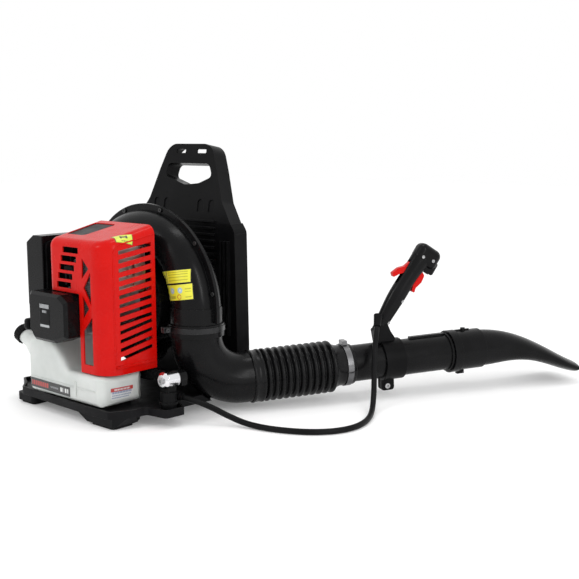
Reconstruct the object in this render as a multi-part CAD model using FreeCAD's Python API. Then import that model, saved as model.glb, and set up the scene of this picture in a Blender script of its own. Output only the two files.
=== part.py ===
"""Backpack leaf blower: fan housing and small petrol engine on a moulded back frame,
with an elbow, bellows, straight tube, curved nozzle and a throttle handle.

Units are millimetres. The origin is on the ground, below the crank axis, in the plane
where the two halves of the fan housing meet. +Z is up, +Y is the way the wearer faces,
+X is the wearer's right. The engine is on the -Y side and the wearer's back on the +Y side.
"""
import FreeCAD, Part

import math
import os

V = FreeCAD.Vector
X, Y, Z = V(1, 0, 0), V(0, 1, 0), V(0, 0, 1)

# ---------------------------------------------------------------- driving dimensions
CRANK_Z = 205.0           # height of the crank axis above the ground
OVERALL_H = 510.0         # top of the back frame
DECK_TOP = 28.0           # top of the base tray's floor
DECK_T = 8.0              # thickness of the base tray's floor
WALL = 3.0                # moulded wall
GAP = 0.4                 # play between parts that move on each other

PLATE_FRONT, PLATE_REAR = 105.0, 140.0  # back plate, front face and rear edge
VOLUTE_FRONT, VOLUTE_REAR = -46.0, 48.0  # flat faces of the fan housing's drum
DRUM_R = 100.0            # drum around the impeller
IMPELLER_R = 92.0
INLET_R = 58.0            # air inlet in the rear of the fan housing
OUTLET_X = 148.0          # centre of the fan housing's outlet pipe
OUTLET_R = 50.0
OUTLET_END = 158.0        # height of the outlet pipe's lower end
LEAN_FROM, LEAN = 352.0, 10.0            # the back plate leans forward from this height, degrees
FLANGE_W = 12.0           # width of the flange where the housing halves meet
FLANGE_T = 3.5            # thickness of each half's flange

HEADING = 60.0            # tube's direction, degrees from +X towards +Y
TUBE_PITCH = 2.5          # the tube rises by this many degrees
ELBOW_R = 49.0            # outer radius of the elbow pipe
ELBOW_BEND = 88.0         # radius of the elbow's centreline
ELBOW_REACH = 117.0       # from the outlet's axis to the elbow's end
BEND_TOP = 147.0          # height where the elbow starts to bend
BELLOWS_L = 168.0
BELLOWS_R = 52.0
BELLOWS_FOLDS = 11
TUBE_R = 37.0
TUBE_START, TUBE_END = 190.0, 452.0     # along the tube, from the elbow's end
COLLAR_END = 492.0
NOZZLE_END = 706.0
CLAMP_U = 286.0           # handle clamp's middle, along the tube
GRIP_U = 218.0            # where the grip's centreline would meet the tube's axis
GRIP_TILT = 35.0          # grip's lean forward from square to the tube
CABLE_D = 11.0

SHAFT_R = 5.95
BEARING_BORE = 6.0
CASE_FRONT = -122.0       # front of the crankcase
FLYWHEEL_R = 52.0
COVER_L, COVER_R = -62.0, 110.0         # engine cover, left and right
COVER_FRONT, COVER_REAR = -183.0, -66.0
COVER_BOTTOM = 92.0
COVER_BOSS_Z = (150, 246, 332)
COVER_TOP_FRONT, COVER_TOP_REAR = 334.0, 360.0

TANK_L, TANK_R = -124.0, 101.0
TANK_FRONT, TANK_REAR = -190.0, -78.0
TANK_TOP = 90.0           # top of the tank's low part
TANK_HIGH = 142.0         # top of its high part, on the left


# ---------------------------------------------------------------- small helpers
def box(x0, x1, y0, y1, z0, z1):
    return Part.makeBox(x1 - x0, y1 - y0, z1 - z0, V(x0, y0, z0))


def rod(base, axis, r, length):
    return Part.makeCylinder(r, length, base, axis)


def ring(base, axis, r_out, r_in, length):
    return rod(base, axis, r_out, length).cut(rod(base, axis, r_in, length))


def fuse(shapes):
    out = shapes[0]
    if len(shapes) > 1:
        out = out.multiFuse(shapes[1:])
    return out.removeSplitter()


def polygon(points):
    pts = [V(*p) for p in points]
    return Part.makePolygon(pts + [pts[0]])


def prism(points, direction):
    """A straight prism over a flat polygon of (x, y, z) points."""
    return Part.Face(polygon(points)).extrude(direction)


def rounded(points, radius):
    """Closed wire in a plane through the points, with every corner rounded by an arc.
    radius is one number or one for each point."""
    n = len(points)
    pts = [V(*p) for p in points]
    radii = radius if isinstance(radius, (list, tuple)) else [radius] * n
    ins, outs, mids = [], [], []
    for i in range(n):
        a, b, c = pts[i - 1], pts[i], pts[(i + 1) % n]
        u, w = (a - b).normalize(), (c - b).normalize()
        half = u.getAngle(w) / 2
        reach = radii[i] / math.tan(half)
        middle = (u + w).normalize()
        centre = b + middle * (radii[i] / math.sin(half))
        ins.append(b + u * reach)
        outs.append(b + w * reach)
        mids.append(centre - middle * radii[i])
    edges = []
    for i in range(n):
        if radii[i] > 0:
            edges.append(Part.Arc(ins[i], mids[i], outs[i]).toShape())
        if (ins[(i + 1) % n] - outs[i]).Length > 1e-6:
            edges.append(Part.LineSegment(outs[i], ins[(i + 1) % n]).toShape())
    return Part.Wire(edges)


def slab(points, radius, direction):
    return Part.Face(rounded(points, radius)).extrude(direction)


def soft_box(x0, x1, y0, y1, z0, z1, r):
    """A box with all its edges rounded."""
    b = box(x0, x1, y0, y1, z0, z1)
    return b.makeFillet(r, b.Edges)


def turned(profile, base, axis, angle=360):
    """Solid of revolution from a closed (x, y, z) profile."""
    return Part.Face(polygon(profile)).revolve(base, axis, angle)


def screw(place, axis, head_r, head_h, shank_r, shank_l, socket=True):
    """Screw whose head stands out along axis from place, and whose shank goes the other way."""
    head = rod(place, axis, head_r, head_h)
    if socket:
        flat = Part.makePolygon(
            [V(head_r * 0.5 * math.cos(math.radians(a)), head_r * 0.5 * math.sin(math.radians(a)), 0)
             for a in range(0, 361, 60)])
        key = Part.Face(flat).extrude(V(0, 0, head_h))
        key.Placement = FreeCAD.Placement(place + axis * (head_h * 0.4), FreeCAD.Rotation(Z, axis))
        head = head.cut(key)
    return head.fuse(rod(place - axis * shank_l, axis, shank_r, shank_l)).removeSplitter()


def mirrored_x(shape):
    return shape.mirror(V(0, 0, 0), X)


def export(name, shape):
    solids = shape.Solids
    if not solids:
        raise ValueError(name + " has no solid")
    for s in solids:
        if not s.isValid() or s.Volume <= 0:
            raise ValueError(name + " has a bad solid")
    out = solids[0] if len(solids) == 1 else Part.makeCompound(solids)
    out.exportStep("parts/%s.step" % name)


# ---------------------------------------------------------------- frames of the tube and handle
def heading_vector():
    a = math.radians(HEADING)
    return V(math.cos(a), math.sin(a), 0)


def tube_frame():
    """Origin at the elbow's end, local X along the tube and local Z up."""
    a = math.radians(TUBE_PITCH)
    straight = ELBOW_REACH - ELBOW_BEND * (1 + math.sin(a))
    height = BEND_TOP - ELBOW_BEND * math.cos(a) + straight * math.tan(a)
    origin = V(OUTLET_X, 0, height) + heading_vector() * ELBOW_REACH
    turn = FreeCAD.Rotation(Z, HEADING).multiply(FreeCAD.Rotation(Y, -TUBE_PITCH))
    return FreeCAD.Placement(origin, turn)


def on_tube(shape):
    out = shape.copy()
    out.Placement = tube_frame().multiply(out.Placement)
    return out


def handle_frame():
    """In the tube's frame: origin on the tube's axis, local Z up the grip, local X forwards."""
    return FreeCAD.Placement(V(GRIP_U, 0, 0), FreeCAD.Rotation(Y, GRIP_TILT))


def on_handle(shape):
    out = shape.copy()
    out.Placement = handle_frame().multiply(out.Placement)
    return on_tube(out)


# ---------------------------------------------------------------- base, back plate, pads
def base_tray():
    outline = [(-176, -166, 0), (-150, -190, 0), (60, -198, 0), (126, -196, 0), (146, -160, 0),
               (150, -128, 0), (196, -122, 0), (200, -80, 0), (160, -62, 0), (168, 30, 0),
               (160, PLATE_REAR, 0), (-160, PLATE_REAR, 0), (-168, 30, 0), (-160, -62, 0),
               (-206, -96, 0), (-212, -146, 0)]
    low = DECK_TOP - DECK_T
    deck = slab([(x, y, low) for x, y, _ in outline], 8, V(0, 0, DECK_T))
    inner = Part.Face(rounded([(x, y, DECK_TOP) for x, y, _ in outline], 8))
    rim_face = Part.Face(inner.OuterWire).cut(Part.Face(inner.OuterWire.makeOffset2D(-4)))
    rim = rim_face.extrude(V(0, 0, 7))
    feet = []
    for x0, x1, y0, y1 in TRAY_FEET:
        foot = [(x0, y0, 5), (x1, y0, 5), (x1, y1, 5), (x0, y1, 5)]
        feet.append(slab(foot, 10, V(0, 0, low - 5)))
    skirt = prism([(26, -192, low), (142, -192, low), (131, -192, 5), (57, -192, 5)], V(0, 58, 0))
    feet.append(skirt.common(slab([(x, y, 0) for x, y, _ in outline], 8, V(0, 0, low))))
    ribs = [box(-140, 140, y, y + 4, low - 8, low) for y in (-140, -70, 0, 70)]
    ribs += [box(x, x + 4, -150, 120, low - 8, low) for x in (-80, 0, 80)]
    tray = fuse([deck, rim] + feet + ribs)
    slots = [slab([(x - 26, y, low - 1), (x + 26, y, low - 1), (x + 26, y + 16, low - 1),
                   (x - 26, y + 16, low - 1)], 7, V(0, 0, DECK_T + 2))
             for x in (-42, 46) for y in (26, 78)]
    step = box(-PLATE_HALF[-1][0] - 1, PLATE_HALF[-1][0] + 1, PLATE_FRONT - 6, PLATE_REAR + 1, DECK_TOP, 60)
    return clear_of_elbow(tray.cut(fuse(slots + [step]))).cut(frame_screws())


def clear_of_elbow(shape):
    """The shape with room cut into it for the elbow and the bellows' first cuff."""
    bend, straight, upright = bent_pipe(ELBOW_R + 4)
    for pipe in (at_outlet(bend), at_outlet(straight), on_tube(rod(V(-20, 0, 0), X, BELLOWS_R + 4, 60))):
        shape = shape.cut(pipe)
    return shape


TRAY_FEET = [(56, 132, -192, -134), (-176, -120, -186, -130), (112, 160, 78, 134), (-160, -112, 78, 134),
             (-34, 34, -16, 16)]


def rubber_feet():
    pads = []
    for x0, x1, y0, y1 in TRAY_FEET:
        pad = [(x0 + 5, y0 + 5, 0), (x1 - 5, y0 + 5, 0), (x1 - 5, y1 - 5, 0), (x0 + 5, y1 - 5, 0)]
        pads.append(slab(pad, 8, V(0, 0, 5)))
    return Part.makeCompound(pads)


PLATE_HALF = [(62, OVERALL_H, 34), (84, 458, 40), (107, 396, 30), (149, 337, 20), (154, 112, 30),
              (154, DECK_TOP, 4)]
PLATE_SLOTS = (-26, 34)   # strap slots' centres in the top bar


def plate_outline(y):
    right = [(x, y, z) for x, z, _ in PLATE_HALF]
    left = [(-x, y, z) for x, z, _ in reversed(PLATE_HALF)]
    radii = [r for _, _, r in PLATE_HALF]
    return rounded(right + left, radii + radii[::-1])


def handle_hole(y, depth):
    hole = [(-60, y, 470), (60, y, 470), (72, y, 444), (36, y, 430), (-4, y, 426), (-66, y, 444)]
    return slab(hole, [12, 14, 9, 30, 30, 9], V(0, depth, 0))


def back_plate():
    depth = PLATE_REAR - PLATE_FRONT
    outer = Part.Face(plate_outline(PLATE_FRONT))
    shell = outer.extrude(V(0, depth, 0))
    hollow = Part.Face(plate_outline(PLATE_FRONT).makeOffset2D(-WALL - 1)).extrude(V(0, depth, 0))
    hollow.translate(V(0, WALL + 1, 0))
    plate = shell.cut(hollow)
    collar = handle_hole(PLATE_FRONT, depth)
    collar_out = Part.Face(rounded(
        [(-65, PLATE_FRONT, 476), (65, PLATE_FRONT, 476), (80, PLATE_FRONT, 441), (38, PLATE_FRONT, 423),
         (-6, PLATE_FRONT, 419), (-75, PLATE_FRONT, 440)], [14, 16, 12, 36, 36, 12])).extrude(V(0, depth, 0))
    ribs = [box(-96, 96, PLATE_FRONT - 5, PLATE_FRONT, z, z + 4) for z in range(262, 366, 13)]
    for side in (-1, 1):
        for x in (112, 122, 132):
            ribs.append(box(min(side * x, side * (x + 4)), max(side * x, side * (x + 4)),
                            PLATE_FRONT - 6, PLATE_FRONT, 130, 318))
    stiffeners = [box(-150, 150, PLATE_FRONT + WALL, PLATE_REAR - 4, z, z + 3) for z in (90, 170, 250, 330)]
    stiffeners += [box(x, x + 3, PLATE_FRONT + WALL, PLATE_REAR - 4, 34, 380) for x in (-60, 57)]
    plate = fuse([plate, collar_out] + ribs + stiffeners)
    cuts = [collar]
    for x in PLATE_SLOTS:
        slot = [(x - 14, PLATE_FRONT - 1, 491), (x + 14, PLATE_FRONT - 1, 491),
                (x + 14, PLATE_FRONT - 1, 499), (x - 14, PLATE_FRONT - 1, 499)]
        cuts.append(slab(slot, 2.5, V(0, WALL + 4, 0)))
    for x in (-82, -52, 48, 80):
        arch = [(x - 9, PLATE_FRONT - 1, 372), (x + 9, PLATE_FRONT - 1, 372),
                (x + 9, PLATE_FRONT - 1, 398), (x - 9, PLATE_FRONT - 1, 398)]
        cuts.append(slab(arch, [2, 2, 8.5, 8.5], V(0, WALL, 0)))
    plate = clear_of_elbow(plate.cut(fuse(cuts)).cut(frame_screws()))
    lower = plate.common(box(-300, 300, 0, 300, 0, LEAN_FROM))
    upper = plate.common(box(-300, 300, 0, 300, LEAN_FROM, 600))
    upper.rotate(V(0, PLATE_FRONT, LEAN_FROM), X, -LEAN)
    return fuse([lower, upper])


def frame_screws():
    """Screws up through the tray into the back plate, and the front dampers' long screws."""
    up = [screw(V(x, 122, DECK_TOP - DECK_T), V(0, 0, -1), 6, 4, 2.5, 22) for x in (-140, -50, 50, 140)]
    place = V(CUP_X, CUP_FRONT, CUP_Z)
    return Part.makeCompound(up + both_sides([screw(place, V(0, -1, 0), 6, 4, 3, 40)]))


def back_pad():
    pad = [(-92, 0, 150), (92, 0, 150), (104, 0, 300), (84, 0, 372), (-84, 0, 372), (-104, 0, 300)]
    pad = slab([(x, PLATE_REAR + 0.5, z) for x, _, z in pad], 24, V(0, 26, 0))
    return pad.makeFillet(9, [e for e in pad.Edges if e.BoundBox.YMin > PLATE_REAR + 26])


# ---------------------------------------------------------------- fan housing
SCROLL_START = 60.0       # degrees from the outlet side to the scroll's start, along the flow
SCROLL_END_R = OUTLET_R - 2.5           # the scroll ends inside the thicker outlet pipe


def scroll_radius(t):
    """Outer radius of the scroll, t degrees along the flow from the outlet side."""
    return DRUM_R + 8 + 88 * ((t - SCROLL_START) / (360 - SCROLL_START)) ** 0.75


def scroll_section(t, inset):
    s = ((t - SCROLL_START) / (360 - SCROLL_START)) ** 0.75
    half = 17 + (SCROLL_END_R - 17) * s
    a = math.radians(-t)
    out = V(math.cos(a), 0, math.sin(a))
    middle = V(0, 0, CRANK_Z) + out * (scroll_radius(t) - half)
    deep = 42 + (SCROLL_END_R - 42) * s + 0.01 - inset
    return Part.Wire(Part.Ellipse(middle + Y * deep, middle + out * (half - inset), middle).toShape())


def scroll(inset):
    steps = [SCROLL_START + i * (360 - SCROLL_START) / 12 for i in range(13)]
    return Part.makeLoft([scroll_section(t, inset) for t in steps], True, False)


def flange_wire(y, extra):
    """Outline of the flange: the scroll's curve, closed under the outlet and the tongue."""
    steps = [SCROLL_START + i * (360 - SCROLL_START) / 20 for i in range(21)]
    pts = []
    for t in steps:
        a = math.radians(-t)
        r = scroll_radius(t) + extra
        pts.append(V(r * math.cos(a), y, CRANK_Z + r * math.sin(a)))
    curve = Part.BSplineCurve()
    curve.interpolate(pts)
    low = OUTLET_END + 20
    corner = V(pts[-1].x, y, low)
    inner = V(OUTLET_X - OUTLET_R - extra, y, low)
    lines = [Part.LineSegment(p, q).toShape()
             for p, q in ((pts[-1], corner), (corner, inner), (inner, pts[0]))]
    return Part.Wire([curve.toShape()] + lines)


def volute_whole():
    pipe_l = CRANK_Z - OUTLET_END
    outer = fuse([scroll(0),
                  rod(V(0, VOLUTE_FRONT, CRANK_Z), Y, DRUM_R, VOLUTE_REAR - VOLUTE_FRONT),
                  rod(V(OUTLET_X, 0, OUTLET_END), Z, OUTLET_R, pipe_l),
                  Part.Face(flange_wire(-FLANGE_T, FLANGE_W)).extrude(V(0, 2 * FLANGE_T, 0))])
    chamber = rod(V(0, VOLUTE_FRONT + WALL + 1, CRANK_Z), Y, DRUM_R - WALL,
                  VOLUTE_REAR - VOLUTE_FRONT - 2 * WALL - 1)
    inner = fuse([scroll(WALL), chamber, rod(V(OUTLET_X, 0, OUTLET_END), Z, OUTLET_R - WALL, pipe_l)])
    return outer.cut(inner)


FLANGE_SCREW_STEPS = (84, 118, 152, 186, 220, 254, 288, 322, 352)


def volute_screws():
    out = []
    for t in FLANGE_SCREW_STEPS:
        a = math.radians(-t)
        r = scroll_radius(t) + FLANGE_W / 2
        place = V(r * math.cos(a), -FLANGE_T, CRANK_Z + r * math.sin(a))
        out.append(screw(place, V(0, -1, 0), 4, 3, 2, 2 * FLANGE_T))
    return Part.makeCompound(out)


BOLT_CIRCLE_R = 38.5      # bolts through the crankcase wall
MOUNT_BOLTS = [(BOLT_CIRCLE_R * math.cos(math.radians(a)), BOLT_CIRCLE_R * math.sin(math.radians(a)))
               for a in (45, 135, 225, 315)]


def volute_front(whole):
    half = whole.common(box(-400, 400, -200, 0, 0, 600))
    hole = rod(V(0, VOLUTE_FRONT - 1, CRANK_Z), Y, 14, 8)
    return half.cut(hole).cut(volute_screws()).cut(engine_bolts())


def volute_back(whole):
    half = whole.common(box(-400, 400, 0, 200, 0, 600))
    inlet = rod(V(0, VOLUTE_REAR - 6, CRANK_Z), Y, INLET_R, 12)
    lip = ring(V(0, VOLUTE_REAR - 1, CRANK_Z), Y, INLET_R + 6, INLET_R, 7)
    feet = [box(x - 12, x + 12, VOLUTE_REAR - 1.5, DAMPER_FRONT, z0, z1)
            for x, z0, z1 in ((-60, 84, 132), (60, 84, 132), (-30, 284, 310), (30, 284, 310))]
    out = fuse([half.cut(inlet), lip] + feet)
    return out.cut(volute_screws())


DAMPER_FRONT = 76.0       # front of the rubber dampers between the fan housing and the back plate


def rear_dampers():
    """Barrel-shaped rubber blocks that carry the fan housing on the back plate."""
    pads = []
    for x, z in ((-60, 92), (60, 92), (-30, 301), (30, 301)):
        half = [(x, DAMPER_FRONT, z), (x + 9, DAMPER_FRONT, z), (x + 12, DAMPER_FRONT + 8, z),
                (x + 12, PLATE_FRONT - 13, z), (x + 9, PLATE_FRONT - 5, z), (x, PLATE_FRONT - 5, z)]
        pads.append(turned(half, V(x, 0, z), Y))
    return pads


def inlet_guard():
    y = VOLUTE_REAR + 6
    rings = [ring(V(0, y, CRANK_Z), Y, r + 2, r, 3) for r in (16, 28, 40, 52)]
    rings.append(ring(V(0, y, CRANK_Z), Y, INLET_R + 6, INLET_R, 3))
    bars = []
    for i in range(8):
        bar = box(16, INLET_R + 2, -1.2, 1.2, 0, 3)
        bar.Placement = FreeCAD.Placement(V(0, y + 3, CRANK_Z), FreeCAD.Rotation(Y, 45 * i + 10).multiply(
            FreeCAD.Rotation(X, 90)))
        bars.append(bar)
    return fuse(rings + bars)


def impeller():
    disc = rod(V(0, -36, CRANK_Z), Y, IMPELLER_R, 3)
    hub = rod(V(0, -38, CRANK_Z), Y, 16, 48)
    front = ring(V(0, 34, CRANK_Z), Y, IMPELLER_R, 62, 2.5)
    blades = []
    for i in range(18):
        blade = box(44, IMPELLER_R - 1, -1.2, 1.2, -33.5, 34.5)
        blade.Placement = FreeCAD.Placement(V(0, 0, CRANK_Z), FreeCAD.Rotation(Y, 20 * i).multiply(
            FreeCAD.Rotation(X, -90)))
        blade.rotate(blade.CenterOfMass, Y, 28)
        blades.append(blade)
    return fuse([disc, hub, front] + blades).cut(rod(V(0, -60, CRANK_Z), Y, SHAFT_R, 120))


# ---------------------------------------------------------------- engine
def engine_bolts():
    """Bolts that hold the crankcase to the fan housing; their heads are inside the fan housing."""
    y = VOLUTE_FRONT + WALL + 1
    return Part.makeCompound([screw(V(x, y, CRANK_Z + z), Y, 4, 2.5, 2.5, 26) for x, z in MOUNT_BOLTS])


def crankcase():
    body = rod(V(0, CASE_FRONT, CRANK_Z), Y, 42, VOLUTE_FRONT - CASE_FRONT)
    deck = box(-30, 30, -116, -56, CRANK_Z + 10, CRANK_Z + 46)
    boss = rod(V(0, CASE_FRONT - 6, CRANK_Z), Y, 20, 8)
    out = fuse([body, deck, boss])
    inner = [rod(V(0, -112, CRANK_Z), Y, 35, 52), rod(V(0, -84, CRANK_Z), Z, 21, 60),
             rod(V(0, -140, CRANK_Z), Y, 14, 100)]
    return out.cut(fuse(inner)).cut(engine_bolts())


BEARINGS_Y = (-124.0, -58.0)


def bearings():
    return Part.makeCompound([ring(V(0, y, CRANK_Z), Y, 14, BEARING_BORE, 10) for y in BEARINGS_Y])


def crankshaft():
    shaft = rod(V(0, -176, CRANK_Z), Y, SHAFT_R, 78)
    rear = rod(V(0, -76, CRANK_Z), Y, SHAFT_R, 90)
    webs = []
    for y in (-98, -78):
        web = rod(V(0, y, CRANK_Z), Y, 30, 8)
        webs.append(web.cut(box(-40, 40, y - 1, y + 9, CRANK_Z + 6, CRANK_Z + 40)).fuse(
            box(-9, 9, y, y + 8, CRANK_Z, CRANK_Z + 24)))
    pin = rod(V(0, -92, CRANK_Z + 16), Y, 5, 16)
    return fuse([shaft, rear, pin] + webs)


def connecting_rod():
    big = ring(V(0, -88.5, CRANK_Z + 16), Y, 10, 5.05, 9)
    small = ring(V(0, -88.5, CRANK_Z + 76), Y, 8, 4.05, 9)
    shank = box(-4, 4, -87, -81, CRANK_Z + 24, CRANK_Z + 70)
    return fuse([big, small, shank.cut(rod(V(0, -100, CRANK_Z + 76), Y, 4.05, 40))])


def piston():
    body = rod(V(0, -84, CRANK_Z + 62), Z, 19.8, 30)
    hollow = rod(V(0, -84, CRANK_Z + 61), Z, 16.5, 26)
    pin = rod(V(0, -103.5, CRANK_Z + 76), Y, 4, 39)
    return fuse([body.cut(hollow), pin]).common(rod(V(0, -84, 0), Z, 19.8, 600))


CYL_BASE, CYL_TOP = CRANK_Z + 46, CRANK_Z + 108


def cylinder():
    barrel = rod(V(0, -84, CYL_BASE), Z, 27, CYL_TOP - CYL_BASE)
    fins = []
    z = CYL_BASE + 6
    while z < CYL_TOP + 8:
        fins.append(slab([(-40, -124, z), (40, -124, z), (40, -58, z), (-40, -58, z)], 10, V(0, 0, 2)))
        z += 6.5
    fins.append(rod(V(0, -84, CYL_TOP - 0.6), Z, 14, 15.6))
    intake = box(-48, -20, -100, -72, CRANK_Z + 52, CRANK_Z + 74)
    exhaust = box(20, 46, -102, -70, CRANK_Z + 56, CRANK_Z + 84)
    base = slab([(-30, -112.5, CYL_BASE), (30, -112.5, CYL_BASE), (30, -56.2, CYL_BASE), (-30, -56.2, CYL_BASE)],
                8, V(0, 0, 5))
    out = fuse([barrel, intake, exhaust, base] + fins)
    bore = rod(V(0, -84, CYL_BASE - 1), Z, 20, CYL_TOP - CYL_BASE - 4)
    return out.cut(fuse([bore, rod(V(0, -84, CYL_TOP - 10), Z, 5, 40)]))


def spark_plug():
    base = CYL_TOP + 15
    hexagon = Part.Face(Part.makePolygon(
        [V(9 * math.cos(math.radians(a)), -84 + 9 * math.sin(math.radians(a)), base) for a in range(0, 361, 60)]))
    return fuse([rod(V(0, -84, base - 16), Z, 5, 17), hexagon.extrude(V(0, 0, 7)),
                 rod(V(0, -84, base + 6), Z, 5, 8)])


def plug_cap():
    base = CYL_TOP + 22.2
    body = fuse([rod(V(0, -84, base), Z, 9, 14), rod(V(0, -84, base + 7), V(-1, 0, 0), 6.5, 24)])
    return body.cut(rod(V(0, -84, base - 1), Z, 5.2, 9)).cut(plug_lead())


def ignition_coil():
    return fuse([box(-60, -34, -146, -130, 262, 278), box(-58, -53, -146, -130, 242, 263),
                 box(-45, -40, -146, -130, 254, 263)])


def plug_lead():
    path = rounded_path([V(-46, -138, 278), V(-46, -138, 308), V(-44, -112, 334), V(-24, -84, CYL_TOP + 29.2)], 0.45)
    return Part.Wire(path).makePipeShell([Part.Wire(Part.makeCircle(3, V(-46, -138, 278), Z))], True, False)


def muffler():
    body = soft_box(46.3, 88, -142, -72, 242, 316, 8)
    outlet = rod(V(66, -140, 262), V(0, -1, 0), 7, 10)
    stamp = [box(60, 74, -144, -140, z, z + 3) for z in (280, 290, 300)]
    return fuse([body, outlet] + stamp)


def muffler_shield():
    plate = slab([(92, -146, 238), (92, -76, 238), (92, -76, 322), (92, -146, 322)], 8, V(1.5, 0, 0))
    bosses = [rod(V(88, y, z), X, 4, 4.5) for y in (-128, -90) for z in (258, 300)]
    holes = [slab([(91, y, 268), (91, y + 8, 268), (91, y + 8, 290), (91, y, 290)], 3.5, V(4, 0, 0))
             for y in (-122, -108)]
    return fuse([plate] + bosses).cut(fuse(holes))


def flywheel():
    disc = rod(V(0, -146, CRANK_Z), Y, FLYWHEEL_R, 9)
    hub = rod(V(0, -152, CRANK_Z), Y, 16, 24)
    fins = []
    for i in range(16):
        fin = box(22, FLYWHEEL_R - 2, -1.2, 1.2, 0, 9)
        fin.Placement = FreeCAD.Placement(V(0, -145.5, CRANK_Z), FreeCAD.Rotation(Y, 22.5 * i).multiply(
            FreeCAD.Rotation(X, 90)))
        fins.append(fin)
    return fuse([disc, hub] + fins).cut(rod(V(0, -170, CRANK_Z), Y, SHAFT_R, 60))


def starter_cup():
    """Steel cup on the crankshaft that the starter's pawl turns."""
    return ring(V(0, -166, CRANK_Z), Y, 20, 15, 9).fuse(
        ring(V(0, -158, CRANK_Z), Y, 20, SHAFT_R, 3)).removeSplitter()


REEL_R = 27.0
REEL_Z = CRANK_Z - 17
ROPE_Z = REEL_Z - 22       # the rope leaves the bottom of the reel


def rope_reel():
    core = ring(V(0, -192, REEL_Z), Y, REEL_R - 7, 5.05, 12)
    flanges = [ring(V(0, y, REEL_Z), Y, REEL_R, 5.05, 2) for y in (-194, -180)]
    return fuse([core] + flanges)


STARTER = (-84, 16, -214, -172, 144, 236)   # outside of the starter housing: x, y and z


def starter_housing():
    x0, x1, y0, y1, z0, z1 = STARTER
    face = [(x0 + 14, 0, z0), (x1 - 22, 0, z0), (x1 + 16, 0, z0 + 14), (x1 + 16, 0, z1 - 12),
            (x1 - 4, 0, z1), (x0 + 4, 0, z1), (x0, 0, z1 - 14), (x0, 0, z0 + 18)]
    body = slab([(x, y0 + 6, z) for x, _, z in face], 5, V(0, y1 - y0 - 6, 0))
    small = [(-24 + (x + 24) * 0.9, y0, 194 + (z - 194) * 0.88) for x, _, z in face]
    bevel = Part.makeLoft([rounded(small, 5), rounded([(x, y0 + 6, z) for x, _, z in face], 5)], True, True)
    out = fuse([body, bevel])
    hollow = slab([(x * 0.94, y0 + 4, 194 + (z - 194) * 0.93) for x, _, z in face], 4, V(0, y1 - y0, 0))
    post = rod(V(0, y0 + 2, REEL_Z), Y, 5, 34)
    exit_hole = rod(V(x0 - 5, -187, ROPE_Z), X, 3.4, 20)
    return fuse([out.cut(hollow), post]).cut(exit_hole)


GRIP_X = STARTER[0] - 34


def starter_grip():
    handle = soft_box(GRIP_X - 2, GRIP_X + 14, -202, -172, ROPE_Z - 11, ROPE_Z + 11, 6)
    neck = rod(V(GRIP_X + 13, -187, ROPE_Z), X, 6.5, 10)
    return fuse([handle, neck]).cut(rod(V(GRIP_X + 4, -187, ROPE_Z), X, 2, 40))


def starter_rope():
    return rod(V(GRIP_X + 4, -187, ROPE_Z), X, 2, STARTER[0] + 12 - GRIP_X - 4)


def carb_insulator():
    return box(-56, -48.1, -102, -70, CRANK_Z + 46, CRANK_Z + 80).cut(
        rod(V(-60, -86, CRANK_Z + 63), X, 8, 20))


CARB_Z = CRANK_Z + 63
CHOKE_X = -80.0


def carburettor():
    body = box(-88, -56, -102, -70, CARB_Z - 16, CARB_Z + 16)
    bowl = rod(V(-72, -86, CARB_Z - 24), Z, 12, 10)
    out = fuse([body, bowl]).cut(rod(V(-100, -86, CARB_Z), X, 8, 60))
    holes = [rod(V(CHOKE_X, -110, CARB_Z - 6), Y, 3.05, 16), rod(V(-72, -86, CARB_Z), Z, 3.05, 30),
             rod(V(-72, -86, CARB_Z - 25), Z, 9.4, 6)]
    return out.cut(fuse(holes))


def throttle_lever():
    """Lever on the carburettor's throttle shaft, which the cable turns."""
    shaft = rod(V(-72, -86, CARB_Z + 1), Z, 3, 22)
    arm = slab([(-76, -108, CARB_Z + 19), (-68, -108, CARB_Z + 19), (-67, -80, CARB_Z + 19),
                (-77, -80, CARB_Z + 19)], 3, V(0, 0, 3))
    return fuse([shaft, arm])


def choke_lever():
    x, z = CHOKE_X, CARB_Z - 6
    pivot = rod(V(x, -115, z), Y, 3, 20.5)
    arm = slab([(x - 5, -115, z - 34), (x + 5, -115, z - 34), (x + 5, -115, z + 5), (x - 5, -115, z + 5)],
               4, V(0, 3, 0))
    knob = soft_box(x - 8, x + 8, -122, -112, z - 46, z - 32, 3.5)
    return fuse([pivot, arm, knob])


def primer_bulb():
    base = V(-72, -86, CARB_Z - 24.4)
    dome = Part.makeSphere(9, V(-72, -86, CARB_Z - 30)).common(box(-90, -50, -100, -60, 0, CARB_Z - 30))
    return fuse([dome, rod(V(-72, -86, CARB_Z - 30.1), Z, 9, 5.6)])


FILTER = (-164, -90, -168, -78, 182, 334)   # outside of the air filter: x, y and z


def filter_base():
    x0, x1, y0, y1, z0, z1 = FILTER
    plate = slab([(x1 - 2, y0 + 6, z0 + 8), (x1 - 2, y1 - 6, z0 + 8), (x1 - 2, y1 - 6, z1 - 10),
                  (x1 - 2, y0 + 6, z1 - 10)], 12, V(-5, 0, 0))
    neck = rod(V(x1 - 3, -86, CARB_Z), X, 12, 5)
    return fuse([plate, neck]).cut(rod(V(-120, -86, CARB_Z), X, 8, 60))


def filter_element():
    x0, x1, y0, y1, z0, z1 = FILTER
    return soft_box(x0 + 22, x1 - 7.2, y0 + 18, y1 - 14, z0 + 24, z1 - 24, 6)


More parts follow.
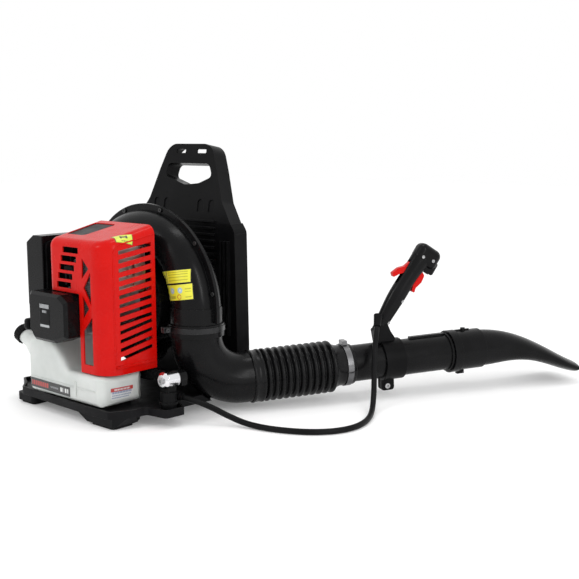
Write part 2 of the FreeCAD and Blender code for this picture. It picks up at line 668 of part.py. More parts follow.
def filter_cover():
    x0, x1, y0, y1, z0, z1 = FILTER
    side = [(x0, y0 + 16), (x0 + 14, y0), (x1 - 7.2, y0), (x1 - 7.2, y1), (x0, y1)]
    body = slab([(x, y, z0) for x, y in side], [10, 12, 2, 2, 10], V(0, 0, z1 - z0))
    wedge = prism([(x0 - 1, y0 - 1, z1 - 26), (x0 + 40, y0 - 1, z1 + 1), (x0 - 1, y0 - 1, z1 + 1)],
                  V(0, y1 - y0 + 2, 0))
    foot = prism([(x0 - 1, y0 - 1, z0 - 1), (x0 + 34, y0 - 1, z0 - 1), (x0 - 1, y0 - 1, z0 + 30)],
                 V(0, y1 - y0 + 2, 0))
    body = body.cut(wedge).cut(foot)
    inside = box(x0 + 4, x1, y0 + 4 + 12, y1 - 4, z0 + 20, z1 - 20)
    ribs = [box(x0 - 3, x0 + 2, y0 + 22, y1 - 42, z, z + 3) for z in range(int(z0) + 36, int(z1) - 30, 10)]
    return fuse([body.cut(inside)] + ribs).cut(rod(V(x0 - 5, y1 - 26, (z0 + z1) / 2), X, 3.05, 12))


def filter_knob():
    x0, _, y0, y1, z0, z1 = FILTER
    y, z = y1 - 26, (z0 + z1) / 2
    return fuse([rod(V(x0 - 12.3, y, z), X, 12, 12), rod(V(x0 - 1, y, z), X, 3, 6),
                 box(x0 - 17, x0 - 11, y - 10, y + 10, z - 2.5, z + 2.5)])


# ---------------------------------------------------------------- covers
def cover_plan(inset, z, height):
    pts = [(COVER_L + inset, COVER_FRONT + inset, z), (COVER_R - inset, COVER_FRONT + inset, z),
           (COVER_R - inset, COVER_REAR, z), (COVER_L + inset, COVER_REAR, z)]
    return slab(pts, [20 - inset, 38 - inset, 0, 0], V(0, 0, height))


def cover_block(inset, z):
    """The cover's solid form under its sloping top, with the top's edges rounded."""
    block = cover_plan(inset, z, 300).cut(cover_top_cut(inset))
    edges = [e for e in block.Edges
             if e.BoundBox.ZMin > COVER_TOP_FRONT - 20 and e.BoundBox.YMin < COVER_REAR - 1]
    return block.makeFillet(18 - inset, edges)


def cover_top_cut(drop):
    """Everything above the cover's sloping top."""
    front, rear = COVER_TOP_FRONT - drop, COVER_TOP_REAR - drop
    x = COVER_L - 10
    return prism([(x, COVER_FRONT - 10, front - 2.7), (x, COVER_REAR + 10, rear + 2.7),
                  (x, COVER_REAR + 10, 500), (x, COVER_FRONT - 10, 500)], V(COVER_R - COVER_L + 20, 0, 0))


def side_louvres():
    """Slanted slots through the right wall."""
    cuts = []
    for i in range(13):
        z = 118 + 16.2 * i
        rise = 10 if i > 3 else 14
        front = COVER_FRONT + 32
        rear = COVER_REAR - 9
        cuts.append(prism([(COVER_R - 8, front, z), (COVER_R - 8, rear, z + rise),
                           (COVER_R - 8, rear, z + rise + 7), (COVER_R - 8, front, z + 7)], V(20, 0, 0)))
    return cuts


def front_openings():
    """Five slots, a truss of triangles and a tall opening through the front wall."""
    y = COVER_FRONT - 4
    slots = ((-32, 10, 245), (-28, 15, 261.5), (-23, 21, 278), (-18, 28, 294.5), (-12, 34, 311))
    cuts = [box(x0, x1, y, y + 12, z, z + 11) for x0, x1, z in slots]
    triangles = [[(45, 304), (63, 286), (43, 266)], [(68, 280), (68, 220), (47, 250)],
                 [(44, 236), (44, 192), (62, 213)]]
    for tri in triangles:
        cuts.append(prism([(x, y, z) for x, z in tri], V(0, 12, 0)))
    cuts.append(prism([(43, y, 108), (70, y, 108), (70, y, 198), (43, y, 170)], V(0, 12, 0)))
    return cuts


def starter_window():
    x0, x1, _, _, z0, z1 = STARTER
    return box(COVER_L - 5, x1 + 17.5, COVER_FRONT - 5, COVER_FRONT + 12, COVER_BOTTOM - 1, z1 + 1.5)


def engine_cover():
    bosses = [rod(V(COVER_R - 7, COVER_REAR - 14, z), Y, 6.5, 14) for z in COVER_BOSS_Z]
    line = box(COVER_R - 0.1, COVER_R + 1.6, COVER_FRONT + 22, COVER_REAR - 4, 104, 109)
    left_open = box(COVER_L - 5, COVER_L + 6, -172, COVER_REAR + 1, COVER_BOTTOM - 1, 314)
    top_recess = slab([(-44, -150, 300), (10, -150, 300), (20, -80, 300), (-44, -80, 300)], 8, V(0, 0, 120))
    cuts = side_louvres() + front_openings() + [starter_window(), left_open, top_recess]
    shell = cover_block(0, COVER_BOTTOM).cut(cover_block(WALL, COVER_BOTTOM - 1))
    out = fuse([shell, line] + bosses)
    return out.cut(fuse(cuts)).cut(cover_screws())


def top_cover():
    """Black insert in the sloping top, over the spark plug."""
    pad = slab([(-43.5, -149.5, 300), (9.5, -149.5, 300), (19.4, -80.5, 300), (-43.5, -80.5, 300)],
               7.6, V(0, 0, 120))
    return pad.cut(cover_top_cut(1.5)).common(cover_top_keep(WALL + 2))


def cover_top_keep(drop):
    """Everything above a plane this far below the sloping top."""
    return cover_top_cut(drop)


def cover_screws():
    return Part.makeCompound([screw(V(COVER_R - 7, COVER_REAR - 14, z), V(0, -1, 0), 4.5, 3, 2, 13)
                              for z in COVER_BOSS_Z])


# ---------------------------------------------------------------- fuel tank
NECK_BASE = V(-110, -156, 98)
NECK_AXIS = V(-0.92, 0, 0.392).normalize()
NECK_L = 76.0


def tank_solid(inset):
    profile = [(TANK_L + inset, 34 + inset), (TANK_R - inset, 34 + inset), (TANK_R - inset, TANK_TOP - inset),
               (-4, TANK_TOP - inset), (-46, TANK_HIGH - inset), (TANK_L + inset, TANK_HIGH - inset)]
    body = slab([(x, TANK_FRONT + inset, z) for x, z in profile], [12, 12, 14, 20, 24, 20],
                V(0, TANK_REAR - TANK_FRONT - 2 * inset, 0))
    front = [e for e in body.Edges if e.BoundBox.YMax < TANK_FRONT + inset + 0.1]
    body = body.makeFillet(8 - inset, front)
    plan = [(TANK_L - 1, TANK_FRONT + inset), (TANK_R - inset - 4, TANK_FRONT + inset),
            (TANK_R - inset, -150), (TANK_R - inset, -104), (TANK_R - 26 - inset, TANK_REAR - inset),
            (TANK_L - 1, TANK_REAR - inset)]
    return body.common(slab([(x, y, 0) for x, y in plan], [0, 16, 0, 10, 10, 0], V(0, 0, 200)))


def fuel_tank():
    outer = tank_solid(0)
    neck = rod(NECK_BASE, NECK_AXIS, 15, NECK_L).fuse(Part.makeCone(30, 15.5, 56, NECK_BASE, NECK_AXIS))
    thread = rod(NECK_BASE + NECK_AXIS * (NECK_L - 2), NECK_AXIS, 13, 12)
    seam = box(TANK_L + 14, TANK_R - 20, TANK_FRONT - 1.2, TANK_FRONT + 2, 62, 64)
    rib = box(22, 26, TANK_FRONT - 2, TANK_FRONT + 3, 46, TANK_TOP - 16)
    foot = box(-90, 70, -170, -98, DECK_TOP, 36)
    bore = rod(NECK_BASE - NECK_AXIS * 10, NECK_AXIS, 10, NECK_L + 30)
    return fuse([outer, neck, thread, rib, seam, foot]).cut(fuse([tank_solid(WALL), bore])).cut(
        fuse([fuel_grommet(), rod(V(-64, -96, TANK_HIGH - 8), Z, 5, 8)]))


def fuel_cap():
    base = NECK_BASE + NECK_AXIS * (NECK_L + GAP)
    shell = ring(base, NECK_AXIS, 18, 13.3, 10).fuse(rod(base + NECK_AXIS * 10, NECK_AXIS, 18, 6))
    ribs = []
    for i in range(20):
        rib = box(17, 19.2, -1.1, 1.1, 0, 15)
        rib.Placement = FreeCAD.Placement(base, FreeCAD.Rotation(Z, NECK_AXIS).multiply(FreeCAD.Rotation(Z, 18 * i)))
        ribs.append(rib)
    return fuse([shell] + ribs)


def rounded_path(points, share):
    """Straight runs joined by tangent arcs; share is how much of the shorter run an arc takes."""
    edges, start = [], points[0]
    for a, b, c in zip(points, points[1:], points[2:]):
        u, w = (a - b).normalize(), (c - b).normalize()
        reach = share * min((a - b).Length, (c - b).Length)
        half = u.getAngle(w) / 2
        middle = (u + w).normalize()
        centre = b + middle * (reach / math.cos(half))
        radius = reach * math.tan(half)
        p, q = b + u * reach, b + w * reach
        edges.append(Part.LineSegment(start, p).toShape())
        edges.append(Part.Arc(p, centre - middle * radius, q).toShape())
        start = q
    edges.append(Part.LineSegment(start, points[-1]).toShape())
    return edges


def path_radii(points, share):
    out = []
    for a, b, c in zip(points, points[1:], points[2:]):
        u, w = (a - b).normalize(), (c - b).normalize()
        out.append(share * min((a - b).Length, (c - b).Length) * math.tan(u.getAngle(w) / 2))
    return out


def swept(points, share, r):
    wire = Part.Wire(rounded_path(points, share))
    along = (points[1] - points[0]).normalize()
    return wire.makePipeShell([Part.Wire(Part.makeCircle(r, points[0], along))], True, False)


def fuel_line():
    pts = [V(-64, -96, TANK_HIGH - 4), V(-64, -88, 170), V(-74, -80, 200), V(-84, -74, 222), V(-84, -74, CARB_Z - 16)]
    return swept(pts, 0.45, 2.5)


def fuel_grommet():
    out = fuse([rod(V(-64, -96, TANK_HIGH), Z, 7, 4), rod(V(-64, -96, TANK_HIGH - 7), Z, 5, 7.5)])
    return out.cut(fuel_line())


# ---------------------------------------------------------------- front dampers
CUP_X, CUP_Z = 174.0, 84.0
CUP_FRONT, CUP_REAR = -112.0, -80.0


def both_sides(shapes):
    return shapes + [mirrored_x(s) for s in shapes]


def damper_arms():
    """Arms on the fan housing's front half that reach out to the front dampers."""
    return both_sides([fuse([box(50, CUP_X + 12, -74, -60, 70, 90), box(50, 74, -62, VOLUTE_FRONT + 2, 70, 128),
                             rod(V(CUP_X, -79.8, CUP_Z), Y, 13, 20)])])


def damper_cups():
    cup = [(CUP_X, CUP_FRONT, CUP_Z), (CUP_X + 11, CUP_FRONT, CUP_Z), (CUP_X + 15.5, CUP_FRONT + 5, CUP_Z),
           (CUP_X + 15.5, CUP_REAR, CUP_Z), (CUP_X + 12, CUP_REAR, CUP_Z), (CUP_X + 12, CUP_FRONT + 8, CUP_Z),
           (CUP_X, CUP_FRONT + 8, CUP_Z)]
    part = turned(cup, V(CUP_X, 0, CUP_Z), Y)
    return Part.makeCompound(both_sides([part.cut(rod(V(CUP_X, CUP_FRONT - 1, CUP_Z), Y, 3, 12))]))


def front_dampers():
    part = rod(V(CUP_X, CUP_FRONT + 8, CUP_Z), Y, 12, CUP_REAR - CUP_FRONT - 8)
    return both_sides([part.cut(rod(V(CUP_X, CUP_FRONT, CUP_Z), Y, 3, 60))])


def damper_posts():
    """Brackets on the tray's lobes that hold the cups."""
    part = fuse([rod(V(CUP_X, -96, DECK_TOP), Z, 15, 34), box(CUP_X - 10, CUP_X + 10, -106, -86, 58, 72),
                 rod(V(CUP_X, -96, DECK_TOP + 12), Z, 17.5, 4)])
    part = part.cut(rod(V(CUP_X, -200, CUP_Z), Y, 15.5, 300))
    return Part.makeCompound(both_sides([part]))


# ---------------------------------------------------------------- elbow, bellows, tube, nozzle

def at_outlet(shape):
    out = shape.copy()
    out.Placement = FreeCAD.Placement(V(OUTLET_X, 0, 0), FreeCAD.Rotation(Z, HEADING)).multiply(out.Placement)
    return out


def bent_pipe(r):
    turn = 90 + TUBE_PITCH
    disc = Part.Face(Part.Wire(Part.makeCircle(r, V(0, 0, BEND_TOP), Z)))
    bend = disc.revolve(V(ELBOW_BEND, 0, BEND_TOP), V(0, -1, 0), turn)
    a = math.radians(TUBE_PITCH)
    start = V(ELBOW_BEND * (1 + math.sin(a)), 0, BEND_TOP - ELBOW_BEND * math.cos(a))
    along = V(math.cos(a), 0, math.sin(a))
    length = (ELBOW_REACH - start.x) / along.x
    return [bend, rod(start - along * 0.01, along, r, length + 0.01),
            rod(V(0, 0, BEND_TOP - 0.01), Z, r, OUTLET_END - BEND_TOP + 0.02)]


def elbow():
    collar = rod(V(0, 0, OUTLET_END - 8), Z, OUTLET_R + 3.5, 24)
    outer = fuse(bent_pipe(ELBOW_R) + [collar])
    socket = rod(V(0, 0, OUTLET_END), Z, OUTLET_R + 0.02, 40)
    return at_outlet(outer.cut(fuse(bent_pipe(ELBOW_R - WALL))).cut(socket))


def elbow_clamp():
    """Steel band round the elbow's collar, with a screwed gap."""
    z, r = OUTLET_END + 2, OUTLET_R + 3.5
    band = ring(V(0, 0, z), Z, r + 1.5, r + 0.02, 10)
    ears = box(-6, 6, -r - 16, -r - 0.4, z, z + 10)
    return at_clamp(fuse([band, ears]).cut(box(-1.5, 1.5, -r - 30, -r + 5, z - 1, z + 11)).cut(clamp_hole(z)))


def clamp_hole(z):
    return rod(V(-20, -OUTLET_R - 12, z + 5), X, 2, 40)


def at_clamp(shape):
    out = shape.copy()
    out.Placement = FreeCAD.Placement(V(OUTLET_X, 0, 0), FreeCAD.Rotation(Z, -18)).multiply(out.Placement)
    return out


def elbow_clamp_screw():
    z = OUTLET_END + 2
    return at_clamp(fuse([screw(V(6, -OUTLET_R - 12, z + 5), X, 4, 4, 2, 18),
                          rod(V(-10, -OUTLET_R - 12, z + 5), X, 4, 4)]))


def bellows():
    outer = [(-14, BELLOWS_R), (8, BELLOWS_R)]
    pitch = (BELLOWS_L - 20) / BELLOWS_FOLDS
    for i in range(BELLOWS_FOLDS):
        x = 10 + i * pitch
        outer += [(x, BELLOWS_R - 7), (x + pitch * 0.32, BELLOWS_R), (x + pitch * 0.68, BELLOWS_R)]
    outer += [(BELLOWS_L - 8, BELLOWS_R - 7), (BELLOWS_L + 2, TUBE_R + 4), (TUBE_START + 10, TUBE_R + 4)]
    inner = [(TUBE_START + 10, TUBE_R + 0.3), (BELLOWS_L + 2, TUBE_R + 0.3), (BELLOWS_L - 8, BELLOWS_R - 10),
             (0.5, BELLOWS_R - 10), (0.5, ELBOW_R + 0.02), (-14, ELBOW_R + 0.02)]
    return on_tube(turned([(x, 0, r) for x, r in outer + inner], V(0, 0, 0), X))


def bellows_clamp():
    r = TUBE_R + 4
    band = ring(V(TUBE_START - 10, 0, 0), X, r + 1.8, r + 0.3, 12)
    worm = box(TUBE_START - 9, TUBE_START + 1, -10, 10, r + 1, r + 9)
    return on_tube(fuse([band, worm]))


def tube():
    pipe = ring(V(BELLOWS_L + 4, 0, 0), X, TUBE_R, TUBE_R - 2, TUBE_END - BELLOWS_L - 4)
    rail = box(332, 410, -5, 5, TUBE_R - 1, TUBE_R + 4)
    stop = ring(V(412, 0, 0), X, TUBE_R + 3, TUBE_R - 1, 5)
    pin = rod(V(446, 0, TUBE_R - 1), Z, 3, 2.9)
    return on_tube(fuse([pipe, rail, stop, pin]))


NOZZLE_SECTIONS = [(COLLAR_END, 0, 38.5, 38), (540, -3, 39, 34), (592, -12, 45, 25),
                   (648, -33, 52, 17), (NOZZLE_END, -60, 56, 12)]


def nozzle_loft(inset):
    wires = []
    for i, (u, z, wide, tall) in enumerate(NOZZLE_SECTIONS):
        ahead = NOZZLE_SECTIONS[min(i + 1, len(NOZZLE_SECTIONS) - 1)]
        behind = NOZZLE_SECTIONS[max(i - 1, 0)]
        along = V(ahead[0] - behind[0], 0, ahead[1] - behind[1]).normalize() if i else X
        up = along.cross(Y).normalize() * -1
        shift = along * (1 if inset and i == len(NOZZLE_SECTIONS) - 1 else 0)
        c = V(u, 0, z) + shift
        wires.append(Part.Wire(Part.Ellipse(c + Y * (wide - inset), c + up * (tall - inset), c).toShape()))
    return Part.makeLoft(wires, True, False)


def nozzle():
    collar = rod(V(424, 0, 0), X, TUBE_R + 4.5, COLLAR_END - 424)
    lip = rod(V(418, 0, 0), X, TUBE_R + 7, 18)
    grip_ribs = [box(424, 470, -2, 2, TUBE_R, TUBE_R + 7)]
    knob = rod(V(456, 0, TUBE_R + 3), Z, 5, 7)
    lug = box(440, 456, -4, 4, -TUBE_R - 13, -TUBE_R - 2)
    outer = fuse([collar, lip, knob, lug, nozzle_loft(0)] + grip_ribs)
    socket = rod(V(400, 0, 0), X, TUBE_R + 0.3, TUBE_END + 1 - 400)
    through = rod(V(430, 0, 0), X, TUBE_R - 2, COLLAR_END - 429)
    groove = ring(V(400, 0, 0), X, TUBE_R + 2.5, TUBE_R - 5, 50).common(
        rod(V(400, 0, 0), X, 60, 50).common(groove_sector()))
    stop_room = rod(V(400, 0, 0), X, TUBE_R + 3.3, 17.4)
    return on_tube(outer.cut(fuse([socket, through, stop_room])).cut(groove).cut(nozzle_loft(2)))


def groove_sector():
    """The part of the collar that the tube's pin turns in: a wedge of 44 degrees."""
    face = Part.Face(polygon([(442.4, 0, 0), (449.8, 0, 0), (449.8, 0, 60), (442.4, 0, 60)]))
    wedge = face.revolve(V(0, 0, 0), X, -44)
    wedge.rotate(V(0, 0, 0), X, 5)
    return wedge


# ---------------------------------------------------------------- handle
def clamp_block():
    block = [(256, -12, 38), (300, -12, 38), (286, -12, 60), (278, -12, 80), (252, -12, 64)]
    return slab(block, [2, 6, 6, 3, 3], V(0, 24, 0))


def handle_clamp():
    band = rod(V(CLAMP_U - 22, 0, 0), X, TUBE_R + 5, 44)
    ears = box(CLAMP_U - 22, CLAMP_U + 6, -9, 9, -TUBE_R - 26, -TUBE_R)
    ears = ears.makeFillet(6, [e for e in ears.Edges if e.BoundBox.ZMax < -TUBE_R - 25 and e.BoundBox.YLength > 10])
    out = fuse([band, clamp_block(), ears])
    out = out.cut(rod(V(200, 0, 0), X, TUBE_R + 0.02, 200))
    out = out.cut(box(200, 400, -2, 2, -80, -TUBE_R + 5))
    return on_tube(out.cut(rod(V(CLAMP_U - 10, -30, -TUBE_R - 16), Y, 3, 60)))


def handle_screws():
    """The clamp's screw with its nut, and the four screws of the handle's shells."""
    place = V(CLAMP_U - 10, -9, -TUBE_R - 16)
    clamp = on_tube(fuse([screw(place, V(0, -1, 0), 5.5, 4.5, 3, 23), rod(place + Y * 18, Y, 5.5, 4)]))
    return Part.makeCompound([clamp] + on_handle(shell_screws(True)).Solids)


GRIP_SECTIONS = [(74, 0, 12, 11), (96, 0, 14, 12.5), (130, -1, 17, 14.5), (170, -1, 18.5, 16),
                 (205, 0, 18, 16), (238, 3, 21, 17), (262, 6, 23, 17)]


def handle_whole():
    wires = []
    for z, x, deep, wide in GRIP_SECTIONS:
        c = V(x, 0, z)
        wires.append(Part.Wire(Part.Ellipse(c + X * deep, c + Y * wide, c).toShape()))
    grip = Part.makeLoft(wires, True, False)
    hood = soft_box(-17, 38, -17.5, 17.5, 236, 278, 14)
    nose = soft_box(14, 43, -9, 9, 226, 258, 7)
    return fuse([grip, hood, nose])


def trigger_pocket():
    return box(1, 60, -7, 7, 172, 231)


def lever_pocket():
    return box(-40, -3, -5.6, 5.6, 178, 233)


TRIGGER_PIVOT = V(10, 0, 224)
LEVER_PIVOT = V(-11, 0, 224)


def handle_halves():
    whole = handle_whole().cut(fuse([trigger_pocket(), lever_pocket()]))
    pins = [rod(TRIGGER_PIVOT - Y * 9, Y, 2, 18), rod(LEVER_PIVOT - Y * 8, Y, 2, 16)]
    inner = [rod(V(0, 0, 70), Z, 7, 102), box(-3, 3, -9, 9, 96, 168)]
    whole = fuse([whole.cut(fuse(inner))] + pins)
    seat = clamp_block()
    seat.Placement = handle_frame().inverse().multiply(seat.Placement)
    whole = whole.cut(seat).cut(shell_screws(False))
    left = whole.common(box(-100, 100, -60, 0, 0, 400))
    right = whole.common(box(-100, 100, 0, 60, 0, 400))
    return on_handle(left), on_handle(right)


def shell_screws(socket):
    places = ((9, -9, 100, 15), (10, -11, 152, 17), (-2, -16.5, 250, 22), (22, -16.5, 254, 22))
    return Part.makeCompound([screw(V(x, y, z), V(0, -1, 0), 3.2, 2, 1.5, length, socket)
                              for x, y, z, length in places])


def trigger():
    blade = [(4, -6.4, 226), (12, -6.4, 229), (27, -6.4, 221), (29, -6.4, 206), (24, -6.4, 190),
             (27, -6.4, 180), (20, -6.4, 180), (14, -6.4, 198), (6, -6.4, 208)]
    body = slab(blade, [2, 3, 5, 6, 5, 2, 2, 6, 4], V(0, 12.8, 0))
    return on_handle(body.cut(rod(TRIGGER_PIVOT - Y * 10, Y, 2.05, 20)))


def cruise_lever():
    blade = [(-16, -5.2, 229), (-6.5, -5.2, 229), (-7.5, -5.2, 212), (-23, -5.2, 196), (-31, -5.2, 184),
             (-38, -5.2, 190), (-31, -5.2, 206), (-21, -5.2, 216)]
    body = slab(blade, [3, 3, 3, 4, 2, 3, 4, 4], V(0, 10.4, 0))
    return on_handle(body.cut(rod(LEVER_PIVOT - Y * 10, Y, 2.05, 20)))


# ---------------------------------------------------------------- throttle cable
CABLE_ROUTE = [V(180, -66, 46), V(206, -58, 42), V(232, -44, 32), V(260, -30, 18), V(294, -20, 8),
               V(334, -12, 5.6), V(376, 2, 5.6), V(414, 24, 5.6), V(442, 56, 5.6), V(454, 96, 5.6),
               V(448, 138, 5.6), V(430, 178, 6), V(408, 214, 10), V(390, 242, 27), V(378, 259, 55),
               V(372, 267, 86), V(366, 277, 116), V(352.2, 301.7, 147)]
ARC_SHARE = 0.45


def throttle_cable():
    cable = swept(CABLE_ROUTE, ARC_SHARE, CABLE_D / 2)
    length = sum(e.Length for e in rounded_path(CABLE_ROUTE, ARC_SHARE))
    print("cable length %.0f, volume over section times length %.3f"
          % (length, cable.Volume / (math.pi * CABLE_D ** 2 / 4 * length)))
    print("cable radii", [round(r) for r in path_radii(CABLE_ROUTE, ARC_SHARE)])
    return cable


def boot(end, away, length, r_base):
    """Tapered strain relief whose small end is at the cable's end."""
    axis = (end - away).normalize()
    base = end + axis * length
    cone = Part.makeCone(r_base, CABLE_D / 2 + 1.5, length, base, axis * -1)
    rings = [ring(base - axis * k, axis * -1, r_base - k * 0.09, CABLE_D / 2, 2) for k in (7, 12, 17)]
    return fuse([cone] + rings)


def cable_gland():
    out = boot(CABLE_ROUTE[0], CABLE_ROUTE[1], 24, 9.5)
    return out.fuse(box(140, 158, -84, -64, DECK_TOP, 62)).removeSplitter()


def handle_boot():
    end, away = CABLE_ROUTE[-1], CABLE_ROUTE[-2]
    return boot(end, away, 26, 9)


# ---------------------------------------------------------------- everything, one file per node
def casing_screws():
    groups = [volute_screws(), cover_screws(), engine_bolts(), elbow_clamp_screw()]
    return Part.makeCompound([solid for g in groups for solid in g.Solids])


def nodes():
    whole = volute_whole()
    front = fuse([volute_front(whole)] + damper_arms()).cut(frame_screws())
    left, right = handle_halves()
    relief = handle_boot()
    out = {
        "base_tray": base_tray(), "rubber_feet": rubber_feet(), "back_plate": back_plate(),
        "frame_screws": frame_screws(), "back_pad": back_pad(),
        "volute_front": front, "volute_back": volute_back(whole), "casing_screws": casing_screws(),
        "inlet_guard": inlet_guard(), "impeller": impeller(),
        "crankcase": crankcase(), "crank_bearings": bearings(),
        "crankshaft": crankshaft(), "connecting_rod": connecting_rod(), "piston": piston(),
        "cylinder": cylinder(), "spark_plug": spark_plug(), "ignition_coil": ignition_coil(),
        "plug_lead": fuse([plug_cap(), plug_lead()]), "muffler": muffler(),
        "muffler_shield": muffler_shield(), "flywheel": flywheel(), "starter_cup": starter_cup(),
        "rope_reel": rope_reel(), "starter_housing": starter_housing(), "starter_grip": starter_grip(),
        "starter_rope": starter_rope(), "carb_insulator": carb_insulator(), "carburettor": carburettor(),
        "throttle_lever": throttle_lever(), "choke_lever": choke_lever(), "primer_bulb": primer_bulb(),
        "filter_base": filter_base(), "filter_element": filter_element(), "filter_cover": filter_cover(),
        "filter_knob": filter_knob(), "engine_cover": engine_cover(), "top_cover": top_cover(),
        "fuel_tank": fuel_tank(), "fuel_cap": fuel_cap(),
        "fuel_line": fuel_line(), "fuel_grommet": fuel_grommet(),
        "rubber_dampers": Part.makeCompound(rear_dampers() + front_dampers()),
        "damper_cups": damper_cups(), "damper_posts": damper_posts(),
        "elbow": elbow(), "elbow_clamp": elbow_clamp(),
        "bellows": bellows(), "bellows_clamp": bellows_clamp(),
        "tube": tube(), "nozzle": nozzle(), "handle_clamp": handle_clamp(),
        "handle_screws": handle_screws(), "handle_left": left.cut(relief),
        "handle_right": right.cut(relief), "trigger": trigger(), "cruise_lever": cruise_lever(),
        "handle_boot": relief, "cable_gland": cable_gland(), "throttle_cable": throttle_cable(),
    }
    return out


os.makedirs("parts", exist_ok=True)
for node, shape in nodes().items():
    export(node, shape)
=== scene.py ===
import math
import bmesh
import bpy
from mathutils import Matrix, Vector
from mathutils.bvhtree import BVHTree


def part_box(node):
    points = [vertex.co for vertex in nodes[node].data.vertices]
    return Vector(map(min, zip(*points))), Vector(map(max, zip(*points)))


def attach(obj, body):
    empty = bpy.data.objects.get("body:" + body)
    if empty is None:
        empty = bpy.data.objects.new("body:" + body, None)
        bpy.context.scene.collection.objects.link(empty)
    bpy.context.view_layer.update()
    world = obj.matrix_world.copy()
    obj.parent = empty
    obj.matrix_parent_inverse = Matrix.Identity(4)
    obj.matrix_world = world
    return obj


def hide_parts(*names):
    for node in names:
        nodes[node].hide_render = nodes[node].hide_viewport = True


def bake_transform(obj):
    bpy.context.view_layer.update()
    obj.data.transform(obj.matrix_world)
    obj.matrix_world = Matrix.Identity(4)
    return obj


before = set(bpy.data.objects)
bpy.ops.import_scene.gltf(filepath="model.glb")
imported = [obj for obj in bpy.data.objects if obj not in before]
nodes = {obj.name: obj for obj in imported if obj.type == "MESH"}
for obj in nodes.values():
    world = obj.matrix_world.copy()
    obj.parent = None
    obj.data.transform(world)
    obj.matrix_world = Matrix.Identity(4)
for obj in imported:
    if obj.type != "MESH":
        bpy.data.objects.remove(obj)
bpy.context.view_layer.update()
scene = bpy.context.scene
MM = 0.001


def link(obj):
    scene.collection.objects.link(obj)
    return obj


def vec(x, y, z):
    """A point given in millimetres, in metres."""
    return Vector((x, y, z)) * MM


# ---------------------------------------------------------------- camera
CAMERA_PLACE = (1.4646, -1.2443, 0.515)
CAMERA_TILT, CAMERA_TURN = math.radians(81.21), math.radians(41)
CAMERA_LENS, CAMERA_SENSOR = 60.1, 36  # millimetres
CAMERA_REACH = 60                      # metres

camera = link(bpy.data.objects.new("camera", bpy.data.cameras.new("camera")))
camera.location = CAMERA_PLACE
camera.rotation_euler = (CAMERA_TILT, 0, CAMERA_TURN)
camera.data.lens = CAMERA_LENS
camera.data.sensor_width = CAMERA_SENSOR
camera.data.clip_end = CAMERA_REACH
scene.camera = camera
scene.view_settings.view_transform = "Standard"

# ---------------------------------------------------------------- the tube's own frame
OUTLET_X = 148
HEADING, PITCH = math.radians(60), math.radians(2.5)
REACH, BEND, BEND_TOP = 117.0, 88.0, 147.0
RISE = BEND_TOP - BEND * math.cos(PITCH) + (REACH - BEND * (1 + math.sin(PITCH))) * math.tan(PITCH)
TUBE_ORIGIN = vec(OUTLET_X + REACH * math.cos(HEADING), REACH * math.sin(HEADING), RISE)
TUBE_ALONG = Vector((math.cos(HEADING) * math.cos(PITCH), math.sin(HEADING) * math.cos(PITCH), math.sin(PITCH)))
TUBE_ACROSS = Vector((-math.sin(HEADING), math.cos(HEADING), 0))
TUBE_UP = TUBE_ALONG.cross(TUBE_ACROSS)


def tube_point(u, n, z):
    """A point along, across and above the tube's axis, in millimetres from the elbow's end."""
    return TUBE_ORIGIN + (TUBE_ALONG * u + TUBE_ACROSS * n + TUBE_UP * z) * MM


# ---------------------------------------------------------------- materials
FACE_DOT, EDGE_DOT = 0.985, 0.88  # a bevelled normal against the face's own, on a face and on an edge
EDGE_WIDTH = 0.0014               # metres, how wide the rubbed edges are


